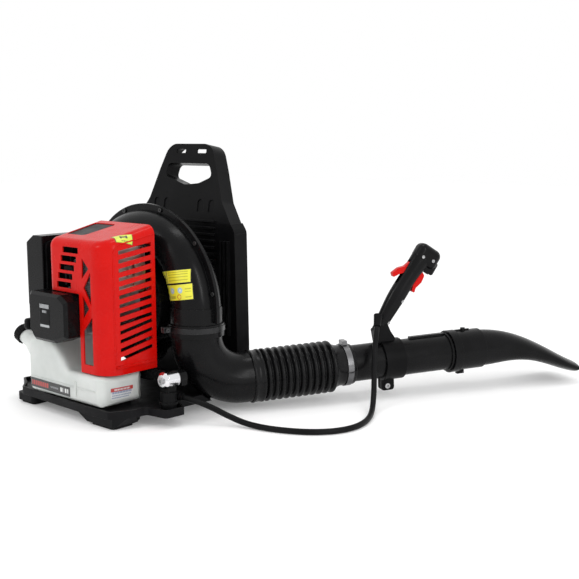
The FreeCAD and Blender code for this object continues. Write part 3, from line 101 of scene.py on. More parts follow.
class Nodes:
    """A short way to add and join shader nodes."""

    def __init__(self, name):
        self.material = bpy.data.materials.new(name)
        self.material.use_nodes = True
        self.tree = self.material.node_tree
        self.tree.nodes.clear()
        self.shader = self.add("ShaderNodeBsdfPrincipled")
        out = self.add("ShaderNodeOutputMaterial")
        self.join(self.shader.outputs[0], out.inputs["Surface"])
        self.place = self.add("ShaderNodeTexCoord").outputs["Object"]

    def add(self, kind, **settings):
        node = self.tree.nodes.new(kind)
        for key, value in settings.items():
            setattr(node, key, value)
        return node

    def join(self, a, b):
        self.tree.links.new(a, b)

    def noise(self, scale, detail=3.0, roughness=0.55, stretch=None):
        node = self.add("ShaderNodeTexNoise")
        node.inputs["Scale"].default_value = scale
        node.inputs["Detail"].default_value = detail
        node.inputs["Roughness"].default_value = roughness
        source = self.place
        if stretch:
            mapping = self.add("ShaderNodeMapping")
            mapping.inputs["Scale"].default_value = stretch
            self.join(self.place, mapping.inputs["Vector"])
            source = mapping.outputs[0]
        self.join(source, node.inputs["Vector"])
        return node.outputs["Fac"]

    def remap(self, value, low, high, to_low, to_high):
        node = self.add("ShaderNodeMapRange")
        for key, number in (("From Min", low), ("From Max", high), ("To Min", to_low), ("To Max", to_high)):
            node.inputs[key].default_value = number
        self.join(value, node.inputs["Value"])
        return node.outputs[0]

    def math(self, operation, a, b):
        node = self.add("ShaderNodeMath", operation=operation)
        for socket, value in zip(node.inputs, (a, b)):
            if isinstance(value, (int, float)):
                socket.default_value = value
            else:
                self.join(value, socket)
        return node.outputs[0]

    def mix(self, factor, a, b):
        node = self.add("ShaderNodeMix", data_type="RGBA")
        self.join(factor, node.inputs[0])
        for socket, value in ((node.inputs[6], a), (node.inputs[7], b)):
            if isinstance(value, tuple):
                socket.default_value = (*value, 1)
            else:
                self.join(value, socket)
        return node.outputs[2]

    def bump(self, height, distance, strength=1.0, under=None):
        node = self.add("ShaderNodeBump")
        node.inputs["Strength"].default_value = strength
        node.inputs["Distance"].default_value = distance
        self.join(height, node.inputs["Height"])
        if under:
            self.join(under, node.inputs["Normal"])
        return node.outputs[0]

    def bevel(self, radius):
        node = self.add("ShaderNodeBevel", samples=4)
        node.inputs["Radius"].default_value = radius
        return node.outputs[0]

    def edges(self, radius):
        """1 along sharp edges, 0 on faces: where the bevelled normal leans away from the face's own."""
        normal = self.add("ShaderNodeNewGeometry").outputs["Normal"]
        dot = self.add("ShaderNodeVectorMath", operation="DOT_PRODUCT")
        self.join(self.bevel(radius), dot.inputs[0])
        self.join(normal, dot.inputs[1])
        return self.remap(dot.outputs["Value"], FACE_DOT, EDGE_DOT, 0.0, 1.0)


def surface(name, colour, second, rough, span=0.08, metallic=0.0, mottle=16.0, grain=1500.0, depth=0.00004,
            soften=0.0008, worn=None, wear=0.5, stretch=None, settings=()):
    """A moulded, cast or machined surface: mottled colour, uneven gloss, fine grain, worn edges."""
    m = Nodes(name)
    patches = m.remap(m.noise(mottle, 4), 0.35, 0.68, 0.0, 1.0)
    tone = m.mix(patches, colour, second)
    smudge = m.noise(42.0, 6, 0.62, stretch)
    if worn:
        rub = m.math("MULTIPLY", m.edges(EDGE_WIDTH), m.remap(m.noise(90.0, 5), 0.42, 0.66, 0.0, wear))
        tone = m.mix(rub, tone, worn)
    m.join(tone, m.shader.inputs["Base Color"])
    m.join(m.remap(smudge, 0.32, 0.7, rough - span, rough + span), m.shader.inputs["Roughness"])
    rounded = m.bevel(soften) if soften else None
    m.join(m.bump(m.noise(grain, 2, 0.5, stretch), depth, 0.8, rounded), m.shader.inputs["Normal"])
    m.shader.inputs["Metallic"].default_value = metallic
    for key, value in dict(settings).items():
        m.shader.inputs[key].default_value = value
    return m.material


DULL = {"Specular IOR Level": 0.08}
BLACK = surface("black_moulded", (0.0030, 0.0030, 0.0033), (0.0055, 0.0055, 0.0059), 0.36, 0.09,
                worn=(0.035, 0.035, 0.037), wear=0.5, settings=DULL)
BLACK_SATIN = surface("black_satin", (0.0024, 0.0024, 0.0027), (0.0044, 0.0044, 0.0048), 0.27, 0.07,
                      depth=0.000025, worn=(0.03, 0.03, 0.032), wear=0.4,
                      settings={"Specular IOR Level": 0.11, "Coat Weight": 0.04, "Coat Roughness": 0.16})
TRAY = surface("tray_plastic", (0.0046, 0.0046, 0.0052), (0.0082, 0.0082, 0.0090), 0.42, 0.1, depth=0.00006,
               worn=(0.05, 0.049, 0.047), wear=0.7, settings=DULL)
RUBBER = surface("rubber", (0.0040, 0.0040, 0.0042), (0.0080, 0.0080, 0.0082), 0.52, 0.1, grain=2200.0,
                 depth=0.00005, soften=0.0006, settings=DULL)
BELLOWS_RUBBER = surface("bellows_rubber", (0.0032, 0.0032, 0.0035), (0.0060, 0.0060, 0.0064), 0.25, 0.07,
                         depth=0.00003, soften=0, settings={"Specular IOR Level": 0.16})
CABLE = surface("cable_jacket", (0.0046, 0.0046, 0.0050), (0.0090, 0.0090, 0.0094), 0.40, 0.08, depth=0.00004,
                soften=0, settings=DULL)
RED = surface("red_gloss", (0.52, 0.0030, 0.0018), (0.58, 0.0048, 0.0026), 0.26, 0.07, depth=0.00002,
              soften=0.0012, worn=(0.66, 0.05, 0.032), wear=0.4,
              settings={"Specular IOR Level": 0.10, "Coat Weight": 0.06, "Coat Roughness": 0.10})
ALUMINIUM = surface("cast_aluminium", (0.40, 0.40, 0.41), (0.56, 0.56, 0.57), 0.46, 0.1, metallic=1.0,
                    grain=900.0, depth=0.00012, worn=(0.8, 0.8, 0.8))
STEEL = surface("steel", (0.50, 0.50, 0.51), (0.62, 0.62, 0.63), 0.30, 0.08, metallic=1.0, grain=1800.0,
                depth=0.00002, stretch=(1, 1, 9))
ZINC = surface("zinc_screws", (0.34, 0.34, 0.35), (0.50, 0.50, 0.50), 0.34, 0.08, metallic=1.0)
DARK_SCREW = surface("blackened_screws", (0.05, 0.05, 0.052), (0.09, 0.09, 0.09), 0.34, 0.08, metallic=0.9)
CLAMP_STEEL = surface("clamp_steel", (0.12, 0.12, 0.125), (0.20, 0.20, 0.205), 0.22, 0.06, metallic=1.0,
                      grain=1800.0, depth=0.00002, worn=(0.6, 0.6, 0.6))
DARK_BAND = surface("blackened_band", (0.018, 0.018, 0.019), (0.034, 0.034, 0.035), 0.32, 0.08, metallic=0.8,
                    worn=(0.22, 0.22, 0.22), wear=0.5)
CHROME = surface("chrome", (0.72, 0.72, 0.74), (0.82, 0.82, 0.84), 0.13, 0.05, metallic=1.0, grain=600.0,
                 depth=0.00003, soften=0.0014)
EXHAUST = surface("exhaust_sheet", (0.52, 0.50, 0.48), (0.70, 0.67, 0.62), 0.36, 0.12, metallic=1.0,
                  mottle=34.0, depth=0.00006, worn=(0.6, 0.58, 0.55))
CERAMIC = surface("ceramic", (0.80, 0.79, 0.75), (0.86, 0.85, 0.82), 0.22)
FOAM = surface("filter_foam", (0.06, 0.06, 0.06), (0.11, 0.11, 0.11), 0.9, 0.05, grain=700.0, depth=0.0006,
               soften=0)
PRIMER = surface("primer_clear", (0.42, 0.34, 0.14), (0.52, 0.42, 0.18), 0.2, 0.05,
                 settings={"Transmission Weight": 0.35})
FUEL_HOSE = surface("fuel_hose", (0.16, 0.11, 0.03), (0.24, 0.16, 0.05), 0.34, 0.08)


def tank_material():
    """Milky blow-moulded plastic: a little light gets in, and its skin is waxy."""
    m = Nodes("milky_tank")
    cloudy = m.remap(m.noise(11.0, 5), 0.3, 0.72, 0.0, 1.0)
    tone = m.mix(cloudy, (0.50, 0.53, 0.51), (0.66, 0.68, 0.66))
    specks = m.remap(m.noise(260.0, 3), 0.66, 0.78, 0.0, 0.25)
    tone = m.mix(specks, tone, (0.42, 0.42, 0.38))
    m.join(tone, m.shader.inputs["Base Color"])
    m.join(m.remap(m.noise(48.0, 6), 0.3, 0.7, 0.30, 0.46), m.shader.inputs["Roughness"])
    m.join(m.bump(m.noise(700.0, 3), 0.00008, 0.7, m.bevel(0.002)), m.shader.inputs["Normal"])
    for key, value in (("Subsurface Weight", 0.45), ("Subsurface Radius", (0.9, 0.9, 0.85)),
                       ("Subsurface Scale", 0.008), ("Coat Weight", 0.1)):
        m.shader.inputs[key].default_value = value
    return m.material


def woven_material():
    """Spacer mesh over foam: a small hexagonal weave with darker holes."""
    m = Nodes("spacer_mesh")
    cells = m.add("ShaderNodeTexVoronoi", feature="DISTANCE_TO_EDGE")
    cells.inputs["Scale"].default_value = 420.0
    cells.inputs["Randomness"].default_value = 0.25
    m.join(m.place, cells.inputs["Vector"])
    holes = m.remap(cells.outputs["Distance"], 0.05, 0.32, 0.0, 1.0)
    tone = m.mix(holes, (0.020, 0.020, 0.022), (0.003, 0.003, 0.003))
    tone = m.mix(m.remap(m.noise(22.0, 4), 0.4, 0.75, 0.0, 0.35), tone, (0.03, 0.03, 0.031))
    m.join(tone, m.shader.inputs["Base Color"])
    m.join(m.remap(m.noise(160.0, 4), 0.3, 0.7, 0.78, 0.95), m.shader.inputs["Roughness"])
    m.join(m.bump(m.math("SUBTRACT", 1.0, holes), 0.0006, 0.9), m.shader.inputs["Normal"])
    m.shader.inputs["Sheen Weight"].default_value = 0.08
    return m.material


def rope_material():
    """Braided cord: slanted strands crossing each other."""
    m = Nodes("braided_rope")
    strands = m.add("ShaderNodeTexWave", wave_type="BANDS", bands_direction="DIAGONAL")
    strands.inputs["Scale"].default_value = 240.0
    strands.inputs["Distortion"].default_value = 1.5
    m.join(m.place, strands.inputs["Vector"])
    tone = m.mix(strands.outputs["Fac"], (0.02, 0.02, 0.02), (0.12, 0.12, 0.12))
    m.join(tone, m.shader.inputs["Base Color"])
    m.join(m.remap(m.noise(400.0, 3), 0.3, 0.7, 0.7, 0.9), m.shader.inputs["Roughness"])
    m.join(m.bump(strands.outputs["Fac"], 0.0004, 0.8), m.shader.inputs["Normal"])
    return m.material


def print_material(name, ink, second, rough=0.36):
    """Printed film on a sticker."""
    return surface(name, ink, second, rough, 0.06, grain=500.0, depth=0.00003, soften=0, mottle=60.0,
                   settings={"Coat Weight": 0.15})


TANK = tank_material()
MESH_FABRIC = woven_material()
ROPE = rope_material()
YELLOW = print_material("label_yellow", (0.68, 0.66, 0.03), (0.74, 0.72, 0.05))
LIME = print_material("label_lime", (0.56, 0.66, 0.05), (0.62, 0.70, 0.07))
INK = print_material("label_ink", (0.02, 0.02, 0.02), (0.035, 0.035, 0.035))
OLIVE = print_material("label_olive", (0.40, 0.39, 0.02), (0.46, 0.44, 0.03))
PALE = print_material("label_pale", (0.62, 0.63, 0.62), (0.70, 0.71, 0.70))
SKY = print_material("label_blue", (0.30, 0.48, 0.62), (0.36, 0.55, 0.68))
LABEL_RED = print_material("label_red", (0.42, 0.03, 0.03), (0.48, 0.05, 0.04))
GREY_INK = print_material("label_grey", (0.30, 0.31, 0.32), (0.36, 0.37, 0.38))
BLUE_INK = print_material("label_blue_ink", (0.20, 0.24, 0.36), (0.26, 0.30, 0.42))

FINISH = {
    BLACK: "back_plate rope_reel carb_insulator filter_base handle_clamp cable_gland handle_boot fuel_cap "
           "inlet_guard starter_grip choke_lever filter_knob damper_posts top_cover",
    BLACK_SATIN: "volute_front volute_back elbow tube nozzle handle_left handle_right starter_housing "
                 "filter_cover",
    TRAY: "base_tray",
    RUBBER: "rubber_feet rubber_dampers fuel_grommet plug_lead ignition_coil",
    RED: "engine_cover trigger cruise_lever",
    TANK: "fuel_tank",
    ALUMINIUM: "crankcase cylinder carburettor flywheel impeller",
    STEEL: "crankshaft connecting_rod crank_bearings piston starter_cup throttle_lever",
    ZINC: "handle_screws frame_screws",
    DARK_SCREW: "casing_screws",
    DARK_BAND: "elbow_clamp",
    CLAMP_STEEL: "bellows_clamp",
    CHROME: "damper_cups",
    EXHAUST: "muffler muffler_shield",
    CERAMIC: "spark_plug",
    FOAM: "filter_element",
    PRIMER: "primer_bulb",
    FUEL_HOSE: "fuel_line",
}
for finish, names in FINISH.items():
    for name in names.split():
        mesh = nodes[name].data
        mesh.materials.clear()
        mesh.materials.append(finish)


# ---------------------------------------------------------------- mesh helpers
def mesh_object(name, verts, faces, materials, smooth=True, indices=None):
    """A new object from points and faces. indices gives each face's material."""
    mesh = bpy.data.meshes.new(name)
    mesh.from_pydata([tuple(v) for v in verts], [], faces)
    for material in materials:
        mesh.materials.append(material)
    if indices:
        mesh.polygons.foreach_set("material_index", indices)
    mesh.polygons.foreach_set("use_smooth", [smooth] * len(mesh.polygons))
    mesh.validate()
    mesh.update()
    return link(bpy.data.objects.new(name, mesh))


def outward(obj):
    """Turns every face outward."""
    bm = bmesh.new()
    bm.from_mesh(obj.data)
    bmesh.ops.recalc_face_normals(bm, faces=bm.faces)
    bm.to_mesh(obj.data)
    bm.free()
    return obj


def lathe(name, loop, place, segments, materials):
    """A closed ring: a closed profile of (along, radius), turned round the axis that place follows."""
    n = len(loop)
    verts, faces = [], []
    for k in range(segments):
        a = 2 * math.pi * k / segments
        for u, r in loop:
            verts.append(place(u, r * math.cos(a), r * math.sin(a)))
    for k in range(segments):
        for i in range(n):
            a, b = k * n + i, k * n + (i + 1) % n
            c, d = ((k + 1) % segments) * n + (i + 1) % n, ((k + 1) % segments) * n + i
            faces.append((a, b, c, d))
    return outward(mesh_object(name, verts, faces, materials))


def sweep(name, path, radius, segments, materials):
    """A capped tube round a line of points. radius is a number or a function of the point's number."""
    points = [Vector(p) for p in path]
    verts, faces = [], []
    side = (points[1] - points[0]).normalized().orthogonal().normalized()
    for i, p in enumerate(points):
        ahead = (points[min(i + 1, len(points) - 1)] - points[max(i - 1, 0)]).normalized()
        side = (side - ahead * side.dot(ahead)).normalized()
        other = ahead.cross(side)
        r = radius(i) if callable(radius) else radius
        for k in range(segments):
            a = 2 * math.pi * k / segments
            verts.append(p + (side * math.cos(a) + other * math.sin(a)) * r)
    for i in range(len(points) - 1):
        for k in range(segments):
            a, b = i * segments + k, i * segments + (k + 1) % segments
            faces.append((a, b, b + segments, a + segments))
    faces.append(tuple(range(segments))[::-1])
    faces.append(tuple(len(verts) - segments + k for k in range(segments)))
    return outward(mesh_object(name, verts, faces, materials))


def nurbs_line(name, points):
    """The smooth line of a route: the points of an order 3 spline, read from its evaluated curve."""
    data = bpy.data.curves.new(name, "CURVE")
    data.dimensions = "3D"
    spline = data.splines.new("NURBS")
    spline.points.add(len(points) - 1)
    for point, place in zip(spline.points, points):
        point.co = (*place, 1)
    spline.order_u = 3
    spline.use_endpoint_u = True
    spline.resolution_u = 14
    obj = link(bpy.data.objects.new(name, data))
    mesh = bpy.data.meshes.new_from_object(obj.evaluated_get(bpy.context.evaluated_depsgraph_get()))
    line = [v.co.copy() for v in mesh.vertices]
    bpy.data.objects.remove(obj)
    return line


def caster(node):
    """Finds where a ray meets a CAD node."""
    mesh = nodes[node].data
    return BVHTree.FromPolygons([v.co for v in mesh.vertices], [p.vertices for p in mesh.polygons])


RAY_REACH = 0.3
SLIPS = (0.0002, 0.0004, 0.0008, 0.0016, 0.003)  # metres to the neighbours of a ray that slips through


def meet(tree, place, direction):
    """Where a ray meets the surface. Where it slips between two thin faces, halfway between its neighbours."""
    hit, facing, _, _ = tree.ray_cast(place, direction, RAY_REACH)
    side = Vector((0, 0, 1)).cross(direction).cross(direction).normalized()
    for step in SLIPS:
        if hit is None:
            above, facing, _, _ = tree.ray_cast(place + side * step, direction, RAY_REACH)
            below, _, _, _ = tree.ray_cast(place - side * step, direction, RAY_REACH)
            if above is not None and below is not None:
                hit = (above + below) / 2
    return hit, facing


FILM_LIFT, FILM_THICK = 0.00015, 0.00025
FILM_START = 0.08  # metres off the surface, where the rays of a film start


def decal(name, node, centre, normal, up, width, height, pattern, materials, turn=0.0, cols=48, rows=24):
    """A thin printed film laid on a CAD node. pattern(u, v) gives the colour's number, u and v from 0 to 1."""
    tree = caster(node)
    n, c = Vector(normal).normalized(), Vector(centre)
    right = Vector(up).cross(n).normalized()
    upward = n.cross(right).normalized()
    spin = Matrix.Rotation(math.radians(turn), 3, n)
    right, upward = spin @ right, spin @ upward
    low, high = [], []
    for j in range(rows + 1):
        for i in range(cols + 1):
            p = c + right * (i / cols - 0.5) * width + upward * (j / rows - 0.5) * height + n * FILM_START
            hit, _ = meet(tree, p, -n)
            if hit is None:
                raise ValueError(f"{name} misses {node} at {i}, {j}")
            low.append(hit + n * FILM_LIFT)
            high.append(hit + n * (FILM_LIFT + FILM_THICK))
    verts, faces, indices = high + low, [], []
    k = len(high)
    for j in range(rows):
        for i in range(cols):
            a = j * (cols + 1) + i
            b, d = a + 1, a + cols + 1
            faces.append((a, b, d + 1, d))
            indices.append(pattern((i + 0.5) / cols, (j + 0.5) / rows))
            faces.append((a + k, d + k, d + 1 + k, b + k))
            indices.append(0)
    rim = list(range(cols)) + [cols + j * (cols + 1) for j in range(rows)]
    rim += [rows * (cols + 1) + i for i in range(cols, 0, -1)] + [j * (cols + 1) for j in range(rows, 0, -1)]
    for a, b in zip(rim, rim[1:] + rim[:1]):
        faces.append((a, a + k, b + k, b))
        indices.append(0)
    obj = mesh_object(name, verts, faces, materials, True, indices)
    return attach(obj, "root")


def within(u, v, boxes):
    """The number of the first box (u0, u1, v0, v1, number) that holds the point, or 0."""
    for u0, u1, v0, v1, number in boxes:
        if u0 <= u <= u1 and v0 <= v <= v1:
            return number
    return 0


def border(side, end):
    """Boxes of a thin printed line round a film: its width at the sides and at the ends."""
    return [(0, 1, 0, end, 1), (0, 1, 1 - end, 1, 1), (0, side, 0, 1, 1), (1 - side, 1, 0, 1, 1)]


# ---------------------------------------------------------------- throttle cable
ROUTE = [(0.180, -0.066, 0.046), (0.206, -0.058, 0.042), (0.232, -0.044, 0.032), (0.260, -0.030, 0.018),
         (0.294, -0.020, 0.008), (0.334, -0.012, 0.0056), (0.376, 0.002, 0.0056), (0.414, 0.024, 0.0056),
         (0.442, 0.056, 0.0056), (0.454, 0.096, 0.0056), (0.448, 0.138, 0.0056), (0.430, 0.178, 0.006),
         (0.408, 0.214, 0.010), (0.390, 0.242, 0.027), (0.378, 0.259, 0.055), (0.372, 0.267, 0.086),
         (0.366, 0.277, 0.116), (0.3522, 0.3017, 0.147)]
CABLE_LENGTH, CABLE_D = 0.647, 0.011
cable_line = nurbs_line("cable_line", ROUTE)
cable = sweep("throttle_cable_jacket", cable_line, CABLE_D / 2, 20, [CABLE])
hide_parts("throttle_cable")
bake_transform(cable)


# ---------------------------------------------------------------- bellows
FOLDS, FOLD_FROM, FOLD_TO = 11, 10.0, 158.0   # millimetres along the tube's axis
FOLD_OUTER_R, FOLD_INNER_R = 52, 49           # radii at a fold's crest, outside and inside
FOLD_STEPS = 12


def fold_line(crest, depth):
    """The folds' profile: rounded crests with narrower valleys."""
    pitch = (FOLD_TO - FOLD_FROM) / FOLDS
    line = []
    for i in range(FOLDS * FOLD_STEPS + 1):
        valley = (0.5 + 0.5 * math.cos(2 * math.pi * i / FOLD_STEPS)) ** 1.9
        line.append((FOLD_FROM + i * pitch / FOLD_STEPS, crest - depth * valley))
    return line


def bellows_loop():
    """Profile of the bellows: two lipped cuffs and rounded folds, outside and inside."""
    outer = [(-14, 50.4), (-13.2, 51.6), (-12, 52), (-10, 52), (-9, 51.6), (-8, 50.8), (3, 50.8), (4, 51.6),
             (5, 52), (7.5, 52), (8.5, 51)]
    outer += fold_line(FOLD_OUTER_R, 7)
    outer += [(163, 43.2), (168, 41.6), (172, 41), (198, 41), (199.4, 40.6), (200, 39.8)]
    inner = [(200, 37.4), (170.5, 37.4), (164, 39)]
    inner += fold_line(FOLD_INNER_R, 6.6)[::-1]
    inner += [(4, 43), (0.6, 44), (0.5, 49.1), (-14, 49.1)]
    return outer + inner


bellows = lathe("bellows_folds", bellows_loop(), tube_point, 88, [BELLOWS_RUBBER])
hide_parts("bellows")
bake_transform(bellows)

# ---------------------------------------------------------------- starter rope, drawn out
rope_low, rope_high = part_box("starter_rope")
ROPE_Y, ROPE_Z = (rope_low.y + rope_high.y) / 2, (rope_low.z + rope_high.z) / 2
ROPE_STEPS = 60
rope_path = [(rope_low.x + (rope_high.x - rope_low.x) * i / ROPE_STEPS, ROPE_Y, ROPE_Z)
             for i in range(ROPE_STEPS + 1)]
rope = sweep("starter_cord", rope_path, lambda i: 0.0019 + 0.0001 * math.cos(i * 1.3), 14, [ROPE])
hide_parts("starter_rope")
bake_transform(rope)


# ---------------------------------------------------------------- back pad
PAD_PLAN = [(-92, 150), (92, 150), (104, 300), (84, 372), (-84, 372), (-104, 300)]
PAD_FRONT, PAD_BACK = 0.1411, 0.1635
PAD_MIDDLE_Z = 262.0
PLATE_BACK = 0.1408             # the back plate's rear face, which the pad lies on
SEAM_FACE = 0.152               # the pad's points beyond this are on the wearer's side
PAD_VOXEL, PAD_PUFF = 0.0045, 0.006
CLOTH_FRAMES = 20


def pad_blank():
    """Flat foam blank, a little smaller than the finished pad."""
    ring = []
    for (x0, z0), (x1, z1) in zip(PAD_PLAN, PAD_PLAN[1:] + PAD_PLAN[:1]):
        for i in range(12):
            t = i / 12
            ring.append((x0 + (x1 - x0) * t, z0 + (z1 - z0) * t))
    for _ in range(3):
        ring = [((before[0] + 2 * here[0] + after[0]) / 4, (before[1] + 2 * here[1] + after[1]) / 4)
                for before, here, after in zip(ring[-1:] + ring[:-1], ring, ring[1:] + ring[:1])]
    verts, faces, n = [], [], len(ring)
    rows = [(PAD_FRONT, 0.93), (PAD_FRONT + 0.003, 0.965), (PAD_BACK - 0.008, 0.965), (PAD_BACK - 0.003, 0.93)]
    for y, scale in rows:
        for x, z in ring:
            verts.append((x * scale * MM, y, (PAD_MIDDLE_Z + (z - PAD_MIDDLE_Z) * scale) * MM))
    for r in range(len(rows) - 1):
        for i in range(n):
            j = (i + 1) % n
            faces.append((r * n + i, r * n + j, (r + 1) * n + j, (r + 1) * n + i))
    faces.append(tuple(range(n)))
    faces.append(tuple((len(rows) - 1) * n + i for i in reversed(range(n))))
    return outward(mesh_object("pad_blank", verts, faces, []))


def apply_modifiers(obj):
    """The object with its modifiers made part of its mesh."""
    mesh = bpy.data.meshes.new_from_object(obj.evaluated_get(bpy.context.evaluated_depsgraph_get()))
    obj.modifiers.clear()
    obj.data = mesh
    return obj


def puffed(obj, voxel, cap):
    """Cloth blown up a little, with each point's travel capped."""
    remesh = obj.modifiers.new("remesh", "REMESH")
    remesh.mode, remesh.voxel_size = "VOXEL", voxel
    apply_modifiers(obj)
    rest = [v.co.copy() for v in obj.data.vertices]
    cloth = obj.modifiers.new("cloth", "CLOTH")
    cloth.settings.use_pressure = True
    cloth.settings.uniform_pressure_force = 4
    cloth.settings.effector_weights.gravity = 0
    cloth.settings.quality = 6
    cloth.point_cache.frame_start, cloth.point_cache.frame_end = 1, CLOTH_FRAMES
    for step in range(1, CLOTH_FRAMES + 1):
        scene.frame_set(step)
        bpy.context.view_layer.update()
    apply_modifiers(obj)
    scene.frame_set(1)
    for v, home in zip(obj.data.vertices, rest):
        move = v.co - home
        if move.length > cap:
            v.co = home + move.normalized() * cap
    return obj


def seam_depth(x, z):
    """How far the sewn channels of the pad pull in at a place on it, in metres."""
    depth = 0.0
    for line in (-0.034, 0.034):
        depth = max(depth, 0.0045 * math.exp(-((x - line * (1 + (z - 0.26) * 0.8)) / 0.0035) ** 2))
    for line in (0.215, 0.305):
        if abs(x) > 0.036:
            depth = max(depth, 0.0035 * math.exp(-((z - line) / 0.0035) ** 2))
    return depth


pad = puffed(pad_blank(), PAD_VOXEL, PAD_PUFF)
smooth = pad.modifiers.new("round", "SUBSURF")
smooth.levels = smooth.render_levels = 1
apply_modifiers(pad)
for v in pad.data.vertices:
    v.co.y = max(v.co.y, PLATE_BACK)
    if v.co.y > SEAM_FACE:
        v.co.y -= seam_depth(v.co.x, v.co.z)
pad.data.materials.clear()
pad.data.materials.append(MESH_FABRIC)
pad.data.polygons.foreach_set("use_smooth", [True] * len(pad.data.polygons))
pad.name = "back_pad_cushion"
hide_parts("back_pad")
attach(pad, "root")

# ---------------------------------------------------------------- engine cover: bead, mesh and a sticker
CORNER_Y, CORNER_Z, CORNER_R = -142, 312, 19  # where the bead turns down


def bead_path():
    """Round the louvred side: along the top, round the corner and down."""
    points = [(-70, 344), (-90, 340.5), (-110, 337), (-130, 333.5)]
    for i in range(9):
        a = math.radians(100 + i * 80 / 8)
        points.append((CORNER_Y + CORNER_R * math.cos(a), CORNER_Z + CORNER_R * math.sin(a)))
    y = CORNER_Y - CORNER_R
    return points + [(y, z) for z in (296, 270, 240, 200, 160, 124, 113)]


def on_cover_side(tree, y, z):
    """The point of the cover's right side at this place, a hair off the surface."""
    hit, normal = meet(tree, vec(200, y, z), Vector((-1, 0, 0)))
    return hit + normal * 0.0002


cover_tree = caster("engine_cover")
bead_line = nurbs_line("bead_line", [on_cover_side(cover_tree, y, z) for y, z in bead_path()])
bead = sweep("cover_bead", bead_line, 0.0013, 12, [RED])
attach(bead, "root")

MESH_X0, MESH_X1, MESH_Z0, MESH_Z1, MESH_Y = 39.0, 72.0, 186.0, 309.0, -179.0
MESH_PITCH, MESH_HOLE_R = 3.3, 1.15


def grille():
    """A thin dark sheet with rows of round holes, fixed inside the cover's front."""
    half = MESH_PITCH / 2
    square = [(0, 0), (half, 0), (2 * half, 0), (2 * half, half), (2 * half, 2 * half), (half, 2 * half),
              (0, 2 * half), (0, half)]
    hole = [(half + MESH_HOLE_R * math.cos(math.radians(225 + 45 * k)),
             half + MESH_HOLE_R * math.sin(math.radians(225 + 45 * k))) for k in range(8)]
    verts, faces = [], []
    for row in range(int((MESH_Z1 - MESH_Z0) / MESH_PITCH)):
        for col in range(int((MESH_X1 - MESH_X0) / MESH_PITCH)):
            base = len(verts)
            for x, z in square + hole:
                verts.append(vec(MESH_X0 + col * MESH_PITCH + x, MESH_Y, MESH_Z0 + row * MESH_PITCH + z))
            for k in range(8):
                n = (k + 1) % 8
                faces.append((base + k, base + n, base + 8 + n, base + 8 + k))
    obj = mesh_object("cover_grille", verts, faces, [DARK_SCREW], False)
    bm = bmesh.new()
    bm.from_mesh(obj.data)
    bmesh.ops.remove_doubles(bm, verts=bm.verts, dist=0.00002)
    bmesh.ops.solidify(bm, geom=bm.faces[:], thickness=0.0006)
    bmesh.ops.recalc_face_normals(bm, faces=bm.faces)
    bm.to_mesh(obj.data)
    bm.free()
    return obj


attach(grille(), "root")


def cover_sticker(u, v):
    """A border, a stepped mark and three short bars."""
    return within(u, v, border(0.025, 0.04) + [
        (0.30, 0.38, 0.46, 0.80, 1), (0.38, 0.60, 0.58, 0.74, 1), (0.60, 0.70, 0.50, 0.84, 1),
        (0.34, 0.40, 0.16, 0.24, 1), (0.44, 0.56, 0.16, 0.24, 1), (0.60, 0.68, 0.16, 0.24, 1)])


decal("sticker_cover", "engine_cover", vec(105, -133, 341), (0.76, 0, 0.65), (0, 0.1, 1), 0.035, 0.020,
      cover_sticker, [LIME, INK], turn=-8, cols=60, rows=36)


# ---------------------------------------------------------------- stickers on the fan housing
def upper_sticker(u, v):
    """A border, a mark in a box on the left and four long bars."""
    mark = [(0.22, 0.245, 0, 1, 1), (0.06, 0.18, 0.30, 0.40, 1), (0.09, 0.15, 0.40, 0.70, 1),
            (0.05, 0.19, 0.14, 0.20, 1)]
    bars = [(0.30, 0.92, v0, v0 + 0.07, 2) for v0 in (0.20, 0.42, 0.64, 0.80)]
    return within(u, v, border(0.015, 0.035) + mark + bars)


def lower_sticker(u, v):
    """A border, two discs with pale middles, a red ring and six blocks."""
    stretch = 2.6
    discs = [((u - middle) * stretch) ** 2 + (v - 0.62) ** 2 for middle in (0.40, 0.66)]
    if min(discs) < 0.034:
        return 4 if min(discs) < 0.006 else 3
    if 0.014 < ((u - 0.62) * stretch) ** 2 + (v - 0.22) ** 2 < 0.026:
        return 5
    return within(u, v, border(0.015, 0.03) + [
        (0.05, 0.24, 0.60, 0.84, 2), (0.05, 0.24, 0.18, 0.42, 2), (0.30, 0.50, 0.12, 0.30, 2),
        (0.80, 0.95, 0.50, 0.56, 2), (0.80, 0.95, 0.66, 0.72, 2), (0.80, 0.95, 0.16, 0.22, 2)])


STICKER_INKS = [YELLOW, INK, OLIVE, SKY, PALE, LABEL_RED]
decal("sticker_fan_upper", "volute_front", vec(138, -45, 264), (0.30, -1, 0.10), (0, 0, 1), 0.068, 0.025,
      upper_sticker, STICKER_INKS, turn=8, cols=90, rows=30)
decal("sticker_fan_lower", "volute_front", vec(143, -45, 235), (0.34, -1, 0.06), (0, 0, 1), 0.072, 0.030,
      lower_sticker, STICKER_INKS, turn=8, cols=90, rows=40)


# ---------------------------------------------------------------- stickers on the tank and the starter
def strip_print(u, v):
    """A dark strip with a row of red bars, grey blocks and two tall pale blocks."""
    bars = [(0.03, 0.46, 0.24, 0.76, 1)] if int(u * 60) % 3 else []
    blocks = [(0.50, 0.70, 0.40, 0.62, 2)] if int(u * 80) % 2 else []
    tall = [(0.74, 0.83, 0.28, 0.74, 3), (0.86, 0.96, 0.28, 0.74, 3)] if int(u * 70) % 4 else []
    return within(u, v, bars + blocks + tall)


